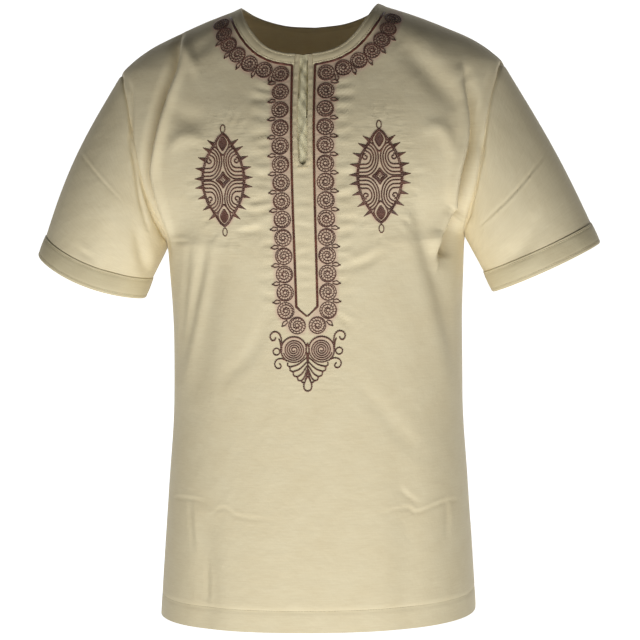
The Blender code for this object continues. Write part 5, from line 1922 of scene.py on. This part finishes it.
@dataclass(frozen=True)
class Studio:
    """A plain pale floor and backdrop, soft light from low in front, and the camera."""

    floor: float = -3.3
    distance: float = 2.3
    azimuth: float = 5.5
    elevation: float = 4.0
    target: tuple = (0.012, 0.0, -0.377)
    lens: float = 106.57

    def build(self) -> None:
        """Add the floor, the lights and the camera."""
        self.add_backdrop()
        self.add_light("key", (0.15, -2.25, -2.25), (0.0, -0.6, -0.1), (5.0, 1.0), 122.0)
        world = bpy.data.worlds.new("studio")
        world.use_nodes = True
        tree = world.node_tree
        way = add_node(tree, "ShaderNodeTexCoord")
        parts = add_node(tree, "ShaderNodeSeparateXYZ", {"Vector": way.outputs["Generated"]})
        height = add_node(
            tree,
            "ShaderNodeMapRange",
            {"Value": parts.outputs["Z"], "From Min": -0.2, "From Max": 0.5},
        )
        sky = ramp(tree, height.outputs["Result"], ((0.0, "FFFFFF"), (1.0, "5A5A5A")))
        tree.links.new(sky.outputs["Color"], tree.nodes["Background"].inputs["Color"])
        tree.nodes["Background"].inputs["Strength"].default_value = 0.22
        bpy.context.scene.world = world
        bpy.context.scene.view_settings.view_transform = "Standard"
        self.add_camera()

    def add_backdrop(self) -> None:
        """Add a pale floor and a white wall behind."""
        paper = plain_material("pale_paper", Base_Color=linear("F4F3F0"), Roughness=0.9)
        glow = plain_material(
            "white_backdrop",
            Base_Color=linear("F7F7F5"),
            Roughness=0.9,
            Emission_Color=linear("FFFFFF"),
            Emission_Strength=0.85,
        )
        floor = self.add_plane("studio_floor", (0.0, 0.0, self.floor), 0.0, paper)
        wall = self.add_plane("studio_wall", (0.0, 4.0, 2.0), 90.0, glow)

    def add_plane(
        self, name: str, place: tuple, tilt: float, material: bpy.types.Material
    ) -> bpy.types.Object:
        """Add a large plane, tilted by an angle in degrees."""
        bpy.ops.object.select_all(action="DESELECT")
        bpy.ops.mesh.primitive_plane_add(size=12.0, location=place)
        plane = bpy.context.object
        plane.name = name
        plane.rotation_euler = (math.radians(tilt), 0.0, 0.0)
        plane.data.materials.append(material)
        return plane

    def add_light(self, name: str, at: tuple, towards: tuple, size: tuple, power: float) -> None:
        """Add a broad soft light.

        Args:
            name: Its name.
            at: Where it stands.
            towards: What it points at.
            size: Its width and height in metres.
            power: Its power in watts.
        """
        lamp = bpy.data.lights.new(name, "AREA")
        lamp.shape = "RECTANGLE"
        lamp.size, lamp.size_y = size
        lamp.energy = power
        thing = bpy.data.objects.new(name, lamp)
        thing.location = at
        way = Vector(towards) - Vector(at)
        thing.rotation_euler = way.to_track_quat("-Z", "Y").to_euler()
        bpy.context.collection.objects.link(thing)

    def add_camera(self) -> None:
        """Add the camera where the photographer stood."""
        turn = math.radians(self.azimuth)
        rise = math.radians(self.elevation)
        back = Vector(
            (math.sin(turn) * math.cos(rise), -math.cos(turn) * math.cos(rise), math.sin(rise))
        )
        camera = bpy.data.cameras.new("camera")
        camera.lens = self.lens
        camera.sensor_width = 36.0
        thing = bpy.data.objects.new("camera", camera)
        thing.location = Vector(self.target) + back * self.distance
        thing.rotation_euler = (-back).to_track_quat("-Z", "Y").to_euler()
        bpy.context.collection.objects.link(thing)
        bpy.context.scene.camera = thing


def main() -> None:
    """Sew the shirt, dress it and set the studio round it."""
    logging.basicConfig(level=logging.INFO, format="%(name)s: %(message)s")
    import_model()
    sewn = Sewn()
    sewn.sew()
    surface = Surface([sewn.front])
    cotton = CottonSateen("cotton_sateen_body").make()
    # The sleeves' cotton is a darker copy of the body's: painted shade, standing in for shade that the
    # low key light does not give their lower parts.
    shaded_sleeve_cotton = CottonSateen("cotton_sateen_sleeve_painted_shade", low="D5C7A3", high="DED2B1").make()
    # The cuffs are cut across the cloth. Their darker copy of the cotton is painted shade: it stands in
    # for the weaker sheen of the turned sateen and for shade that the low light does not give them.
    shaded_cuff_cotton = CottonSateen("cotton_sateen_cuff_painted_shade", low="C8BA96", high="D0C5A3").make()
    band_cotton = CottonSateen("cotton_sateen_band", low="CFC09A", high="E2D5B2").make()
    facing_cotton = CottonSateen(
        "thin_cotton_facing", low="D2CAA6", high="E8E0BC", roughness=0.75, sheen=0.1
    ).make()
    brown = RayonThread("rayon_thread_brown", low="46291F", high="7C5343").make()
    russet = RayonThread("rayon_thread_russet", low="452318", high="7E4834").make()
    cream = RayonThread("cotton_sewing_thread", low="C9BB94", high="EADFC0", roughness=0.6).make()
    ground = CottonSateen("stitched_ground", low="C9B294", high="E2CDB2").make()

    BodyPanel(sewn, Facing.FRONT).build(cotton)
    BodyPanel(sewn, Facing.BACK).build(cotton)
    for side in Side:
        SleeveTube(sewn, side).build(shaded_sleeve_cotton)
        CuffBand(sewn, side).build(shaded_cuff_cotton)
        NeckBand(sewn).build(Facing.FRONT, side, band_cotton)
        SlitBinding(sewn, side).build(surface, band_cotton)
        SatinLine(sewn, side).build(surface, russet)
        RosetteChain(side).build(surface, brown)
        Medallion(side).build(surface, {"brown": brown, "ground": ground})
    NeckBand(sewn).build(Facing.BACK, Side.LEFT, band_cotton)
    SlitFacing(sewn).build(surface, facing_cotton)
    HeartMotif().build(surface, brown)
    Topstitching(sewn).build(surface, cream)
    Studio().build()


if __name__ == "__main__":
    main()
